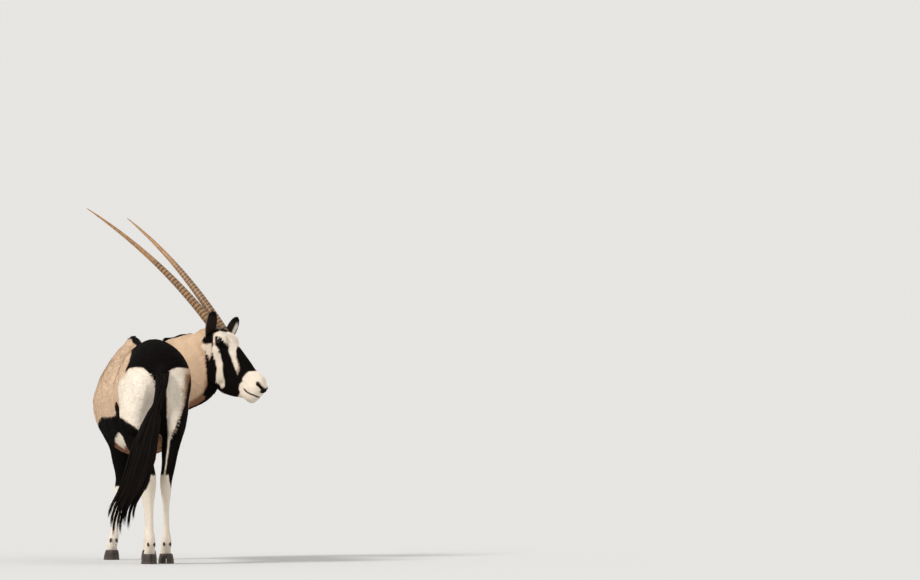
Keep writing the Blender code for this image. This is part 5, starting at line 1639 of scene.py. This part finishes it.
def shade_of(screen):
    """A colour from screen values, as the shaders take it."""
    parts = [value / 255 for value in screen]
    return (*(v / 12.92 if v <= 0.04045 else ((v + 0.055) / 1.055) ** 2.4 for v in parts), 1.0)


# Helpers for nodes. A value is a socket to link, or a plain number, colour or word.

def fill(tree, socket, value):
    """Gives a node's input a value, or links another node's output to it."""
    if isinstance(value, bpy.types.NodeSocket):
        tree.links.new(value, socket)
    else:
        socket.default_value = value


def node(tree, kind, inputs=None, **settings):
    """A node with its settings, and its inputs by name or number."""
    made = tree.nodes.new(kind)
    for name, value in settings.items():
        setattr(made, name, value)
    for key, value in (inputs or {}).items():
        fill(tree, made.inputs[key], value)
    return made


def new_group(name, inputs, outputs):
    """A shader group: its tree, what enters it and where it ends. A number in inputs is a default."""
    tree = bpy.data.node_groups.new(name, "ShaderNodeTree")
    for label, default in inputs.items():
        kind = "NodeSocketColor" if default is None else "NodeSocketFloat"
        socket = tree.interface.new_socket(label, in_out="INPUT", socket_type=kind)
        if default is not None:
            socket.default_value = default
    for label, kind in outputs.items():
        tree.interface.new_socket(label, in_out="OUTPUT", socket_type=kind)
    return tree, node(tree, "NodeGroupInput").outputs, node(tree, "NodeGroupOutput").inputs


def kept(tree, name):
    """A number that was stored on the mesh."""
    return node(tree, "ShaderNodeAttribute", attribute_name=name).outputs["Fac"]


def object_place(tree):
    return node(tree, "ShaderNodeTexCoord").outputs["Object"]


def ramp(tree, value, low, high, to_low=0.0, to_high=1.0, kind="SMOOTHSTEP"):
    """A map from one range to another, held at its ends."""
    numbers = {0: value, 1: low, 2: high, 3: to_low, 4: to_high}
    return node(tree, "ShaderNodeMapRange", numbers, clamp=True, interpolation_type=kind).outputs[0]


def mix(tree, share, a, b, blend="MIX"):
    """Two colours mixed by a share."""
    made = node(tree, "ShaderNodeMix", {0: share, 6: a, 7: b}, data_type="RGBA", blend_type=blend)
    return made.outputs[2]


def math_node(tree, operation, a, b=0.0):
    """One sum in a material."""
    return node(tree, "ShaderNodeMath", {0: a, 1: b}, operation=operation).outputs[0]


def noise(tree, place, scale, detail=3.0, roughness=0.55):
    """Noise at some places, as a share."""
    numbers = {"Vector": place, "Scale": scale, "Detail": detail, "Roughness": roughness}
    return node(tree, "ShaderNodeTexNoise", numbers).outputs["Fac"]


def markings_group():
    """Colour of the coat at a place, with ragged edges, slow changes of tone and painted shade in brown."""
    inputs = {**dict.fromkeys(("Tan", "Low tan", "White", "Black", "Shade brown")), "Ragged": 0.004}
    tree, given, result = new_group("coat_markings", inputs, {"Colour": "NodeSocketColor"})
    place = object_place(tree)
    wander = math_node(tree, "SUBTRACT", noise(tree, place, 160.0, 2.0), 0.5)
    wander = math_node(tree, "MULTIPLY", math_node(tree, "MULTIPLY", wander, given["Ragged"]), 2.0)
    black = math_node(tree, "ADD", kept(tree, "black"), wander)
    white = math_node(tree, "ADD", kept(tree, "white"), wander)
    tan = mix(tree, kept(tree, "tone"), given["Tan"], given["Low tan"])
    slow = ramp(tree, noise(tree, place, 7.0), 0.30, 0.70, 0.0, 0.35)
    varied = mix(tree, slow, tan, given["Low tan"])
    # Painted shade in brown, where the stored field says
    under = mix(tree, ramp(tree, kept(tree, "brown"), -PAINTED_SHADE_EDGE, PAINTED_SHADE_EDGE), varied, given["Shade brown"])
    pale = mix(tree, ramp(tree, white, -SOFT_EDGE, SOFT_EDGE), under, given["White"])
    dark = ramp(tree, black, -SOFT_EDGE * 0.8, SOFT_EDGE * 0.8)
    fill(tree, result["Colour"], mix(tree, dark, pale, given["Black"]))
    return tree


def fur_group():
    """Height of short hair that lies along the coat's map, for a bump, and a share that is low in its
    hollows, where shade is painted.
    """
    results = {"Height": "NodeSocketFloat", "Streak": "NodeSocketFloat"}
    tree, given, result = new_group("short_fur", {"Fineness": 1.0}, results)
    flat = node(tree, "ShaderNodeUVMap", uv_map="comb").outputs["UV"]

    def stretched(scale):
        return node(tree, "ShaderNodeMapping", {"Vector": flat, "Scale": scale}).outputs[0]

    fine = {0: stretched(HAIR_SCALE), "Scale": given["Fineness"]}
    sized = node(tree, "ShaderNodeVectorMath", fine, operation="SCALE")
    hairs = math_node(tree, "MULTIPLY", noise(tree, sized.outputs[0], 1.0, 3.0, 0.6), 0.6)
    clumps = math_node(tree, "MULTIPLY", noise(tree, stretched(CLUMP_SCALE), 1.0, 2.0), 0.4)
    both = math_node(tree, "ADD", hairs, clumps)
    fill(tree, result["Height"], both)
    fill(tree, result["Streak"], ramp(tree, both, 0.35, 0.65))
    return tree


def new_material(name, roughness, specular):
    """A material, its tree and its shader."""
    material = bpy.data.materials.new(name)
    material.use_nodes = True
    shader = material.node_tree.nodes["Principled BSDF"]
    shader.inputs["Roughness"].default_value = roughness
    shader.inputs["Specular IOR Level"].default_value = specular
    return material, material.node_tree, shader


def finish(material, colour, height=None, strength=0.0, distance=0.0):
    """Gives a material its colour and, from a height, its bump."""
    tree = material.node_tree
    shader = tree.nodes["Principled BSDF"]
    fill(tree, shader.inputs["Base Color"], colour)
    if height is not None:
        numbers = {"Strength": strength, "Distance": distance, "Height": height}
        fill(tree, shader.inputs["Normal"], node(tree, "ShaderNodeBump", numbers).outputs[0])
    return material


def coat_colour(tree, markings, looks, ragged=0.004):
    """The colour of the coat, from the markings kept on the mesh."""
    shades = {"Tan": looks.tan, "Low tan": looks.tan_low, "White": looks.white, "Black": looks.black}
    shades.update({"Shade brown": looks.brown, "Ragged": ragged})
    return node(tree, "ShaderNodeGroup", shades, node_tree=markings).outputs["Colour"]


def skin_material(looks, markings, fur):
    """The skin, with its short fur as bump and painted shade in the fur's hollows."""
    material, tree, _ = new_material("short_coat", 0.85, 0.05)
    coat = coat_colour(tree, markings, looks)
    hair = node(tree, "ShaderNodeGroup", node_tree=fur).outputs
    # Painted shade where the fur's bump is low
    colour = mix(tree, hair["Streak"], mix(tree, 1.0, coat, FUR_HOLLOW_SHADE, "MULTIPLY"), coat)
    return finish(material, colour, hair["Height"], 0.55, 0.0022)


def tuft_material(looks, markings):
    """The tufts, with painted shade at the root, no two in quite the same tone."""
    material, tree, _ = new_material("coat_tufts", 0.85, 0.05)
    coat = coat_colour(tree, markings, looks, 0.001)
    # Painted shade towards each tuft's root
    root = mix(tree, 1.0, coat, TUFT_ROOT_SHADE, "MULTIPLY")
    shaded = mix(tree, ramp(tree, kept(tree, "tuft_reach"), 0.0, 0.55), root, coat)
    change = ramp(tree, kept(tree, "tuft_tone"), 0.0, 1.0, 0.0, 0.55, "LINEAR")
    return finish(material, mix(tree, change, shaded, TUFT_CHANGE, "MULTIPLY"))


def long_hair_material(name, looks, brown_tips):
    """The locks of the mane and the tail."""
    material, tree, _ = new_material(name, 0.75, 0.06)
    tone = kept(tree, "tone")
    warm = mix(tree, ramp(tree, tone, 0.2, 1.0, 0.0, 0.6), looks.black, WARM_HAIR)
    browner = ramp(tree, tone, 0.45, 1.0, 0.0, brown_tips)
    tip = math_node(tree, "MULTIPLY", ramp(tree, kept(tree, "reach"), 0.55, 1.0), browner)
    strands = noise(tree, object_place(tree), 420.0, 2.0)
    return finish(material, mix(tree, tip, warm, HAIR_TIP), strands, 0.35, 0.0008)


def horn_material(looks):
    """The horns' sheaths, with rings that end before the tips."""
    material, tree, shader = new_material("horn_sheath", 0.42, 0.45)
    place, reach = object_place(tree), kept(tree, "reach")
    grain = noise(tree, place, 55.0, 5.0, 0.65)
    fine = noise(tree, place, 300.0, 3.0, 0.6)
    body = mix(tree, ramp(tree, reach, 0.35, 0.75), looks.horn, looks.horn_tip)
    count = math_node(tree, "MULTIPLY", reach, HORN_RINGS / HORN_RING_SHARE * 2.0 * math.pi)
    wave = ramp(tree, math_node(tree, "COSINE", count), -0.1, 0.9)
    hollow = math_node(tree, "MULTIPLY", wave, ramp(tree, reach, 0.5, 0.56, 1.0, 0.0))
    colour = mix(tree, math_node(tree, "MULTIPLY", hollow, 0.80), body, looks.horn_dark)
    colour = mix(tree, ramp(tree, grain, 0.42, 0.70, 0.0, 0.5), colour, looks.horn_dark)
    colour = mix(tree, ramp(tree, reach, 0.0, 0.05, 0.8, 0.0), colour, looks.horn_dark)
    fill(tree, shader.inputs["Roughness"], ramp(tree, fine, 0.3, 0.7, 0.34, 0.58))
    height = math_node(tree, "ADD", grain, math_node(tree, "MULTIPLY", fine, 0.4))
    return finish(material, colour, height, 0.35, 0.0010)


def hoof_material(looks):
    """The hooves and dewclaws, with faint level rings."""
    material, tree, _ = new_material("hoof_horn", 0.50, 0.4)
    place = object_place(tree)
    bands = {"Scale": 55.0, "Distortion": 2.0, "Vector": place}
    rings = node(tree, "ShaderNodeTexWave", bands, wave_type="BANDS", bands_direction="Z")
    grain = noise(tree, place, 90.0, 4.0)
    colour = mix(tree, ramp(tree, grain, 0.35, 0.7, 0.0, 0.7), looks.hoof, shade_of(HOOF_WORN))
    level = node(tree, "ShaderNodeSeparateXYZ", {0: place}).outputs["Z"]
    dusty = mix(tree, ramp(tree, level, 0.0, 0.018, 0.30, 0.0), colour, shade_of(DUST))
    return finish(material, dusty, math_node(tree, "ADD", rings.outputs["Fac"], grain), 0.35, 0.0008)


def eye_material(looks):
    """The wet eyes, with their wide pupils."""
    material, tree, shader = new_material("eye_ball", 0.05, 0.45)
    pupil = kept(tree, "pupil")
    rays = noise(tree, object_place(tree), 260.0)
    iris = mix(tree, ramp(tree, rays, 0.3, 0.7, 0.0, 0.6), looks.eye, shade_of(IRIS_RAYS))
    middle = mix(tree, ramp(tree, pupil, *PUPIL_EDGE), PUPIL, iris)
    shader.inputs["Coat Weight"].default_value = 0.2
    shader.inputs["Coat Roughness"].default_value = 0.03
    return finish(material, mix(tree, ramp(tree, pupil, *IRIS_EDGE), middle, shade_of(EYE_RIM)))


def bare_skin_material():
    """The dark bare skin of the lids."""
    material, tree, _ = new_material("bare_skin", 0.45, 0.25)
    grain = noise(tree, object_place(tree), 420.0)
    dark, pale = (shade_of(screen) for screen in BARE_SKIN)
    colour = mix(tree, ramp(tree, grain, 0.3, 0.7, 0.0, 0.6), dark, pale)
    return finish(material, colour, grain, 0.4, 0.0006)


def ear_material(looks):
    """The ears, with their dark edges and painted shade inside their cups."""
    material, tree, _ = new_material("ear_coat", 0.85, 0.12)
    reach, across = kept(tree, "reach"), kept(tree, "across")
    grain = noise(tree, object_place(tree), 240.0)
    edge = math_node(tree, "ABSOLUTE", across)
    back = mix(tree, ramp(tree, reach, 0.30, 0.85), looks.ear, looks.black)
    back = mix(tree, ramp(tree, edge, 0.70, 0.95), back, looks.black)
    # Inside the cup: dark hair with painted shade, white towards the outer rim
    front = mix(tree, ramp(tree, across, 0.30, 0.62), looks.ear_inner, looks.white)
    front = mix(tree, ramp(tree, edge, 0.86, 0.94), front, looks.black)
    front = mix(tree, ramp(tree, reach, 0.72, 0.90), front, looks.black)
    colour = mix(tree, kept(tree, "within"), back, front)
    changed = mix(tree, 1.0, colour, EAR_CHANGE, "MULTIPLY")
    colour = mix(tree, ramp(tree, grain, 0.35, 0.65), colour, changed)
    return finish(material, colour, grain, 0.5, 0.0012)


def floor_material(looks):
    """The plain pale floor."""
    material, tree, _ = new_material("studio_floor", 1.0, 0.0)
    spots = ramp(tree, noise(tree, object_place(tree), 2.0, 4.0), 0.3, 0.7, 0.0, 0.05)
    return finish(material, mix(tree, spots, looks.floor, shade_of(FLOOR_SPOTS)))


def give(thing, material):
    """Gives an object its one material."""
    thing.data.materials.clear()
    thing.data.materials.append(material)
    return thing


# The stage

FLOOR_RADIUS = 6000.0
WORLD_STRENGTH = 0.94
CAMERA_NEAR = 1.0
CAMERA_FAR = 12000.0
BODY_MIDDLE = 0.45
# Soft distant lights: strength, angle across, azimuth and height above the horizon, in degrees.
# Azimuth 0 comes from behind the animal, 90 from its right.
SUNS = {"key": (2.5, 14.0, -62.0, 38.0), "fill": (0.35, 60.0, 40.0, 30.0)}


def add_camera():
    """A long lens far behind the animal, to its left, at eye height."""
    lens = bpy.data.cameras.new("photo_camera")
    lens.sensor_width = SENSOR
    lens.lens = SENSOR * CAMERA_DISTANCE / PICTURE_WIDTH_AT_ANIMAL
    lens.clip_start = CAMERA_NEAR
    lens.clip_end = CAMERA_FAR
    camera = linked("photo_camera", lens)
    yaw, pitch = CAMERA_AIM
    middle = Vector((SHIFT.x, BODY_MIDDLE + SHIFT.y, 0.0))
    back = Vector((math.sin(CAMERA_SIDE), math.cos(CAMERA_SIDE), 0.0))
    camera.location = middle - back * CAMERA_DISTANCE + Vector((0.0, 0.0, CAMERA_HEIGHT))
    camera.rotation_euler = (math.pi / 2 - pitch, 0.0, -yaw)
    bpy.context.scene.camera = camera


def add_suns():
    """The lights."""
    for name, (strength, *degrees) in SUNS.items():
        angle, a, e = (math.radians(value) for value in degrees)
        light = bpy.data.lights.new(name, "SUN")
        light.energy = strength
        light.angle = angle
        source = Vector((math.sin(a) * math.cos(e), -math.cos(a) * math.cos(e), math.sin(e)))
        linked(name, light).rotation_euler = source.to_track_quat("Z", "Y").to_euler()


def add_floor(looks):
    """The round floor."""
    work = bmesh.new()
    bmesh.ops.create_circle(work, cap_ends=True, radius=FLOOR_RADIUS, segments=128)
    floor = give(object_of("studio_floor", work), floor_material(looks))


def add_world():
    """The soft light from all round, and plain colours in the render."""
    world = bpy.data.worlds.new("studio")
    world.use_nodes = True
    background = world.node_tree.nodes["Background"]
    background.inputs["Color"].default_value = shade_of(SKY)
    background.inputs["Strength"].default_value = WORLD_STRENGTH
    bpy.context.scene.world = world
    bpy.context.scene.view_settings.view_transform = "Standard"


# The coat, by Geometry Nodes

TUFT_LENGTH = 0.018
TUFT_WIDTH = 0.0034
TUFT_FLATNESS = 0.8
TUFT_SPACING = 0.0050
TUFT_LIFT = math.radians(4.5)
PATCH_SIZE = 0.003


def shape_tuft():
    """One closed, flat, bent and tapered tuft of length 1 that grows along X, with its face up Z."""
    rows = ((0.00, 0.30, -0.20), (0.30, 0.50, 0.00), (0.68, 0.34, 0.06))
    points = []
    for x, half, z in rows:
        points += [(x, -half, z), (x, half, z), (x, 0.0, z + 0.5 * half)]
    points.append((1.0, 0.0, 0.02))
    faces = [(0, 1, 2)]
    for k in (0, 3):
        for i in range(3):
            j = (i + 1) % 3
            faces += [(k + i, k + j, k + 3 + j), (k + i, k + 3 + j, k + 3 + i)]
    faces += [(6, 7, 9), (7, 8, 9), (8, 6, 9)]
    tuft = mesh_object("tuft_form", points, faces)
    store(tuft.data, "tuft_reach", np.array([point[0] for point in points]))
    store(tuft.data, "tuft_patch", np.array([(point[0], 0.5 + point[1], 0.0) for point in points]))
    return tuft


def coat_tree(tuft, material):
    """Scatters tufts over a surface, laid along its lie, and joins them in one mesh."""
    tree = bpy.data.node_groups.new("coat_of_tufts", "GeometryNodeTree")
    face = tree.interface
    face.new_socket("Surface", in_out="INPUT", socket_type="NodeSocketGeometry")
    for label in ("Density", "Length", "Width", "Lift"):
        face.new_socket(label, in_out="INPUT", socket_type="NodeSocketFloat")
    face.new_socket("Seed", in_out="INPUT", socket_type="NodeSocketInt")
    face.new_socket("Coat", in_out="OUTPUT", socket_type="NodeSocketGeometry")
    given = node(tree, "NodeGroupInput").outputs
    leave = node(tree, "NodeGroupOutput")

    def named(name, kind="FLOAT"):
        made = node(tree, "GeometryNodeInputNamedAttribute", {"Name": name}, data_type=kind)
        return made.outputs["Attribute"]

    def chance(low, high, seed):
        numbers = {2: low, 3: high, "Seed": seed}
        return node(tree, "FunctionNodeRandomValue", numbers, data_type="FLOAT").outputs[1]

    def product(a, b):
        return math_node(tree, "MULTIPLY", a, b)

    def stored(name, geometry, value, **settings):
        inputs = {"Name": name, "Geometry": geometry, "Value": value}
        return node(tree, "GeometryNodeStoreNamedAttribute", inputs, **settings).outputs[0]

    scatter = node(tree, "GeometryNodeDistributePointsOnFaces", {
        "Mesh": given["Surface"], "Density": product(given["Density"], named("fur")),
        "Seed": given["Seed"],
    }, distribute_method="RANDOM").outputs
    tone = chance(0.0, 1.0, 3)
    roots = stored("tuft_tone", scatter["Points"], tone, data_type="FLOAT", domain="POINT")

    turned = node(tree, "FunctionNodeAxesToRotation", {
        "Primary Axis": scatter["Normal"], "Secondary Axis": named("lie", "FLOAT_VECTOR"),
    }, primary_axis="Z", secondary_axis="X")
    euler = node(tree, "ShaderNodeCombineXYZ", {
        "X": chance(-0.25, 0.25, 4), "Y": product(given["Lift"], chance(-1.5, -0.5, 5)),
        "Z": chance(-0.20, 0.20, 6),
    })
    loose = node(tree, "FunctionNodeEulerToRotation", {0: euler.outputs[0]})
    inputs = {0: turned.outputs[0], 1: loose.outputs[0]}
    loosened = node(tree, "FunctionNodeRotateRotation", inputs, rotation_space="LOCAL")

    hair = named("hair")
    long = product(product(given["Length"], hair), chance(0.75, 1.2, 7))
    wide = product(product(given["Width"], hair), chance(0.75, 1.2, 8))
    size = node(tree, "ShaderNodeCombineXYZ", {"X": long, "Y": wide, "Z": product(wide, TUFT_FLATNESS)})
    form = node(tree, "GeometryNodeObjectInfo", {"Object": tuft}, transform_space="ORIGINAL")
    placed = node(tree, "GeometryNodeInstanceOnPoints", {
        "Points": roots, "Instance": form.outputs["Geometry"],
        "Rotation": loosened.outputs[0], "Scale": size.outputs[0],
    })
    real = node(tree, "GeometryNodeRealizeInstances", {0: placed.outputs[0]})
    patch = node(tree, "ShaderNodeVectorMath", {
        0: named("tuft_patch", "FLOAT_VECTOR"), 1: (PATCH_SIZE, PATCH_SIZE, 0.0),
        2: named("root_map", "FLOAT_VECTOR"),
    }, operation="MULTIPLY_ADD")
    mapped = stored("OFBake", real.outputs[0], patch.outputs[0], data_type="FLOAT2", domain="CORNER")
    done = node(tree, "GeometryNodeSetMaterial", {"Geometry": mapped, "Material": material})
    fill(tree, leave.inputs["Coat"], done.outputs[0])
    return tree


# Coat pieces: the part of the skin that each covers, its tufts' size against the trunk's, and its half
COAT_PIECES = {
    "coat_head_left": ("head", 0.30, 1),
    "coat_head_right": ("head", 0.30, -1),
    "coat_neck": ("neck", 0.85, None),
    "coat_trunk_left": ("trunk", 1.0, -1),
    "coat_trunk_right": ("trunk", 1.0, 1),
    "coat_fore_left": ("fore_left", 0.72, None),
    "coat_fore_right": ("fore_right", 0.72, None),
    "coat_hind_left": ("hind_left", 0.80, None),
    "coat_hind_right": ("hind_right", 0.80, None),
}
TUFT_TRIANGLES = 16
PIECE_TRIANGLES = 185000


def surface_part(skin, name, part_of, part, half):
    """A copy of the skin's faces that belong to a part, with its own flat map from 0 to 1."""
    keep = part_of == list(part_lines()).index(part)
    if half:
        centres = points_of(skin.data)[corners_of(skin.data).reshape(-1, 3)].mean(axis=1)
        across = to_head(centres)[:, 1] if part == "head" else centres[:, 0]
        keep &= (across * half) >= 0.0
    mesh = skin.data.copy()
    surface = linked(name, mesh)
    with opened(surface) as work:
        work.faces.ensure_lookup_table()
        bmesh.ops.delete(work, geom=[work.faces[i] for i in np.flatnonzero(~keep)], context="FACES")
    flat = np.zeros(len(mesh.loops) * 2, np.float32)
    mesh.uv_layers["comb"].data.foreach_get("uv", flat)
    flat = flat.reshape(-1, 2)
    low, high = flat.min(axis=0), flat.max(axis=0)
    square = 0.005 + 0.985 * (flat - low) / (high - low)
    rooted = mesh.attributes.new("root_map", "FLOAT_VECTOR", "CORNER")
    whole = np.concatenate((square, np.zeros((len(square), 1))), axis=1)
    rooted.data.foreach_set("vector", whole.astype(np.float32).ravel())
    return surface


def grow_coat(name, surface, tree, size, length_share):
    """Runs the coat's tree on a surface and returns its tufts as a plain mesh."""
    mesh = surface.data
    area = sum(face.area for face in mesh.polygons)
    spacing = TUFT_SPACING * size
    wanted = min(area / spacing**2, PIECE_TRIANGLES / TUFT_TRIANGLES)
    grow = surface.modifiers.new("coat", "NODES")
    grow.node_group = tree
    values = {
        "Density": wanted / area, "Length": TUFT_LENGTH * size * length_share,
        "Width": TUFT_WIDTH * size * length_share, "Lift": TUFT_LIFT, "Seed": len(name),
    }
    for item in tree.interface.items_tree:
        if item.in_out == "INPUT" and item.name in values:
            grow[item.identifier] = values[item.name]
    bake(surface)
    surface.name = name
    surface.data.name = name
    for attribute_name in ("lie", "fur", "hair", "root_map", "tuft_patch", "comb"):
        spare = surface.data.attributes.get(attribute_name)
        if spare is not None:
            surface.data.attributes.remove(spare)
    return surface


# The add-on

class GemsbokLooks(bpy.types.PropertyGroup):
    """Sizes and colours of the gemsbok's looks."""
    coat_length: bpy.props.FloatProperty(
        name="Coat length", description="How long the tufts of the coat are against their usual length",
        default=1.0, min=0.3, max=2.0, subtype="FACTOR")


for colour_name, (colour_screen, colour_label, colour_words) in COLOURS.items():
    GemsbokLooks.__annotations__[colour_name] = bpy.props.FloatVectorProperty(
        name=colour_label, description=colour_words, default=shade_of(colour_screen), size=4,
        min=0.0, max=1.0, subtype="COLOR")


def carry(piece, material_slot, *nodes):
    """A finished piece rides on the body and stands for its nodes; its material slot is not used."""
    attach(piece, "root")
    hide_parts(*nodes)


FLESH = (
    "torso", "neck", "head", "tail", "fore_leg_left", "fore_leg_right", "hind_leg_left", "hind_leg_right",
)


class GEMSBOK_OT_stage(bpy.types.Operator):
    """Makes the floor, the lights and the camera"""
    bl_idname = "gemsbok.stage"
    bl_label = "Stage"

    def execute(self, context):
        add_floor(context.scene.gemsbok)
        add_world()
        add_camera()
        add_suns()
        return {"FINISHED"}


class GEMSBOK_OT_skin(bpy.types.Operator):
    """Makes the skin, paints its markings and grows the coat of tufts on it"""
    bl_idname = "gemsbok.skin"
    bl_label = "Skin and coat"

    def execute(self, context):
        looks = context.scene.gemsbok
        skin = shape_skin()
        paint(skin)
        points, normals = points_of(skin.data), normals_of(skin.data)
        store(skin.data, "lie", comb(points, normals)[0])
        h = to_head(points)
        face = on_head(points) * fade(h[:, 0], -0.10, -0.05)
        folded = np.stack((h[:, 0], np.abs(h[:, 1]), h[:, 2]), axis=1)
        bare = fade(lid_shape(folded - np.array(EYE_PLACE)), LID_RING + 0.15, LID_RING + 0.45)
        bare = np.where(face > 0.5, bare * fade(0.300 - h[:, 0], 0.0, 0.02), 1.0)
        mouth = along_line(h[:, [0, 2]], MOUTH_LINE)[0]
        bare = np.where((face > 0.5) & (mouth < 0.006), 0.0, bare)
        store(skin.data, "fur", bare * (points[:, 2] > 0.052))
        foot = 0.55 + 0.45 * fade(points[:, 2], 0.25, 0.60)
        store(skin.data, "hair", foot)
        part_of = unwrap(skin, "comb")
        markings = markings_group()
        give(skin, skin_material(looks, markings, fur_group()))
        tuft = shape_tuft()
        tree = coat_tree(tuft, tuft_material(looks, markings))
        for name, (part, size, half) in COAT_PIECES.items():
            surface = surface_part(skin, name, part_of, part, half)
            coat = settle(grow_coat(name, surface, tree, size, looks.coat_length))
            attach(coat, "root")
        bpy.data.objects.remove(tuft, do_unlink=True)
        for spare in ("lie", "fur", "hair"):
            skin.data.attributes.remove(skin.data.attributes[spare])
        settle(skin)
        carry(skin, "coat", *FLESH)
        return {"FINISHED"}


class GEMSBOK_OT_horns(bpy.types.Operator):
    """Makes both ringed horns"""
    bl_idname = "gemsbok.horns"
    bl_label = "Horns"

    def execute(self, context):
        finish = horn_material(context.scene.gemsbok)
        for name, side in HEAD_SIDES:
            carry(give(shape_horn("horn_sheath_" + name, side), finish), "horn", "horn_" + name)
        return {"FINISHED"}


class GEMSBOK_OT_eyes(bpy.types.Operator):
    """Makes both eyeballs and their lids"""
    bl_idname = "gemsbok.eyes"
    bl_label = "Eyes and lids"

    def execute(self, context):
        finish = eye_material(context.scene.gemsbok)
        rims = bare_skin_material()
        for name, side in HEAD_SIDES:
            carry(give(shape_eye("eye_ball_" + name, side), finish), "eye", "eye_" + name)
            carry(give(shape_lids("lids_" + name, side), rims), "dark_coat")
        return {"FINISHED"}


class GEMSBOK_OT_ears(bpy.types.Operator):
    """Makes both ear cups"""
    bl_idname = "gemsbok.ears"
    bl_label = "Ears"

    def execute(self, context):
        finish = ear_material(context.scene.gemsbok)
        for name, side in HEAD_SIDES:
            cup = shape_ear("ear_" + name, side)
            cup.name = "ear_cup_" + name
            carry(give(cup, finish), "dark_coat", "ear_" + name)
        return {"FINISHED"}


class GEMSBOK_OT_hooves(bpy.types.Operator):
    """Makes the hooves and the dewclaws"""
    bl_idname = "gemsbok.hooves"
    bl_label = "Hooves"

    def execute(self, context):
        finish = hoof_material(context.scene.gemsbok)
        for name, side in SIDES:
            for end, feet in (("fore", FORE_FEET), ("hind", HIND_FEET)):
                shoe = shape_hoof(f"claws_{end}_{name}", feet[name], -side)
                carry(give(shoe, finish), "hoof", f"{end}_hoof_{name}")
                pair = shape_dewclaws(f"dewclaws_{end}_{name}", feet[name])
                carry(give(pair, finish), "hoof")
        return {"FINISHED"}


class GEMSBOK_OT_hair(bpy.types.Operator):
    """Makes the long hair of the tail and the mane"""
    bl_idname = "gemsbok.hair"
    bl_label = "Tail and mane"

    def execute(self, context):
        looks = context.scene.gemsbok
        tail_finish = long_hair_material("tail_hair", looks, 0.25)
        for piece in (shape_tail_hair(), shape_dock_hair()):
            carry(give(piece, tail_finish), "dark_coat")
        mane = shape_mane()
        carry(give(mane, long_hair_material("mane_hair", looks, 0.5)), "dark_coat")
        return {"FINISHED"}


OPERATORS = (
    GEMSBOK_OT_stage, GEMSBOK_OT_skin, GEMSBOK_OT_horns, GEMSBOK_OT_eyes, GEMSBOK_OT_ears, GEMSBOK_OT_hooves,
    GEMSBOK_OT_hair,
)


class GEMSBOK_PT_looks(bpy.types.Panel):
    """Lists the pieces' operators and the looks' values"""
    bl_idname = "GEMSBOK_PT_looks"
    bl_label = "Gemsbok"
    bl_space_type = "VIEW_3D"
    bl_region_type = "UI"
    bl_category = "Gemsbok"

    def draw(self, context):
        for operator in OPERATORS:
            self.layout.operator(operator.bl_idname)
        for name in GemsbokLooks.__annotations__:
            self.layout.prop(context.scene.gemsbok, name)


def register():
    for one in (GemsbokLooks, *OPERATORS, GEMSBOK_PT_looks):
        bpy.utils.register_class(one)
    bpy.types.Scene.gemsbok = bpy.props.PointerProperty(type=GemsbokLooks)


def unregister():
    del bpy.types.Scene.gemsbok
    for one in reversed((GemsbokLooks, *OPERATORS, GEMSBOK_PT_looks)):
        bpy.utils.unregister_class(one)


def main():
    """Makes every piece in order."""
    register()
    for operator in OPERATORS:
        group, action = operator.bl_idname.split(".")
        getattr(getattr(bpy.ops, group), action)()
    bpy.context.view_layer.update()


if __name__ == "__main__":
    main()
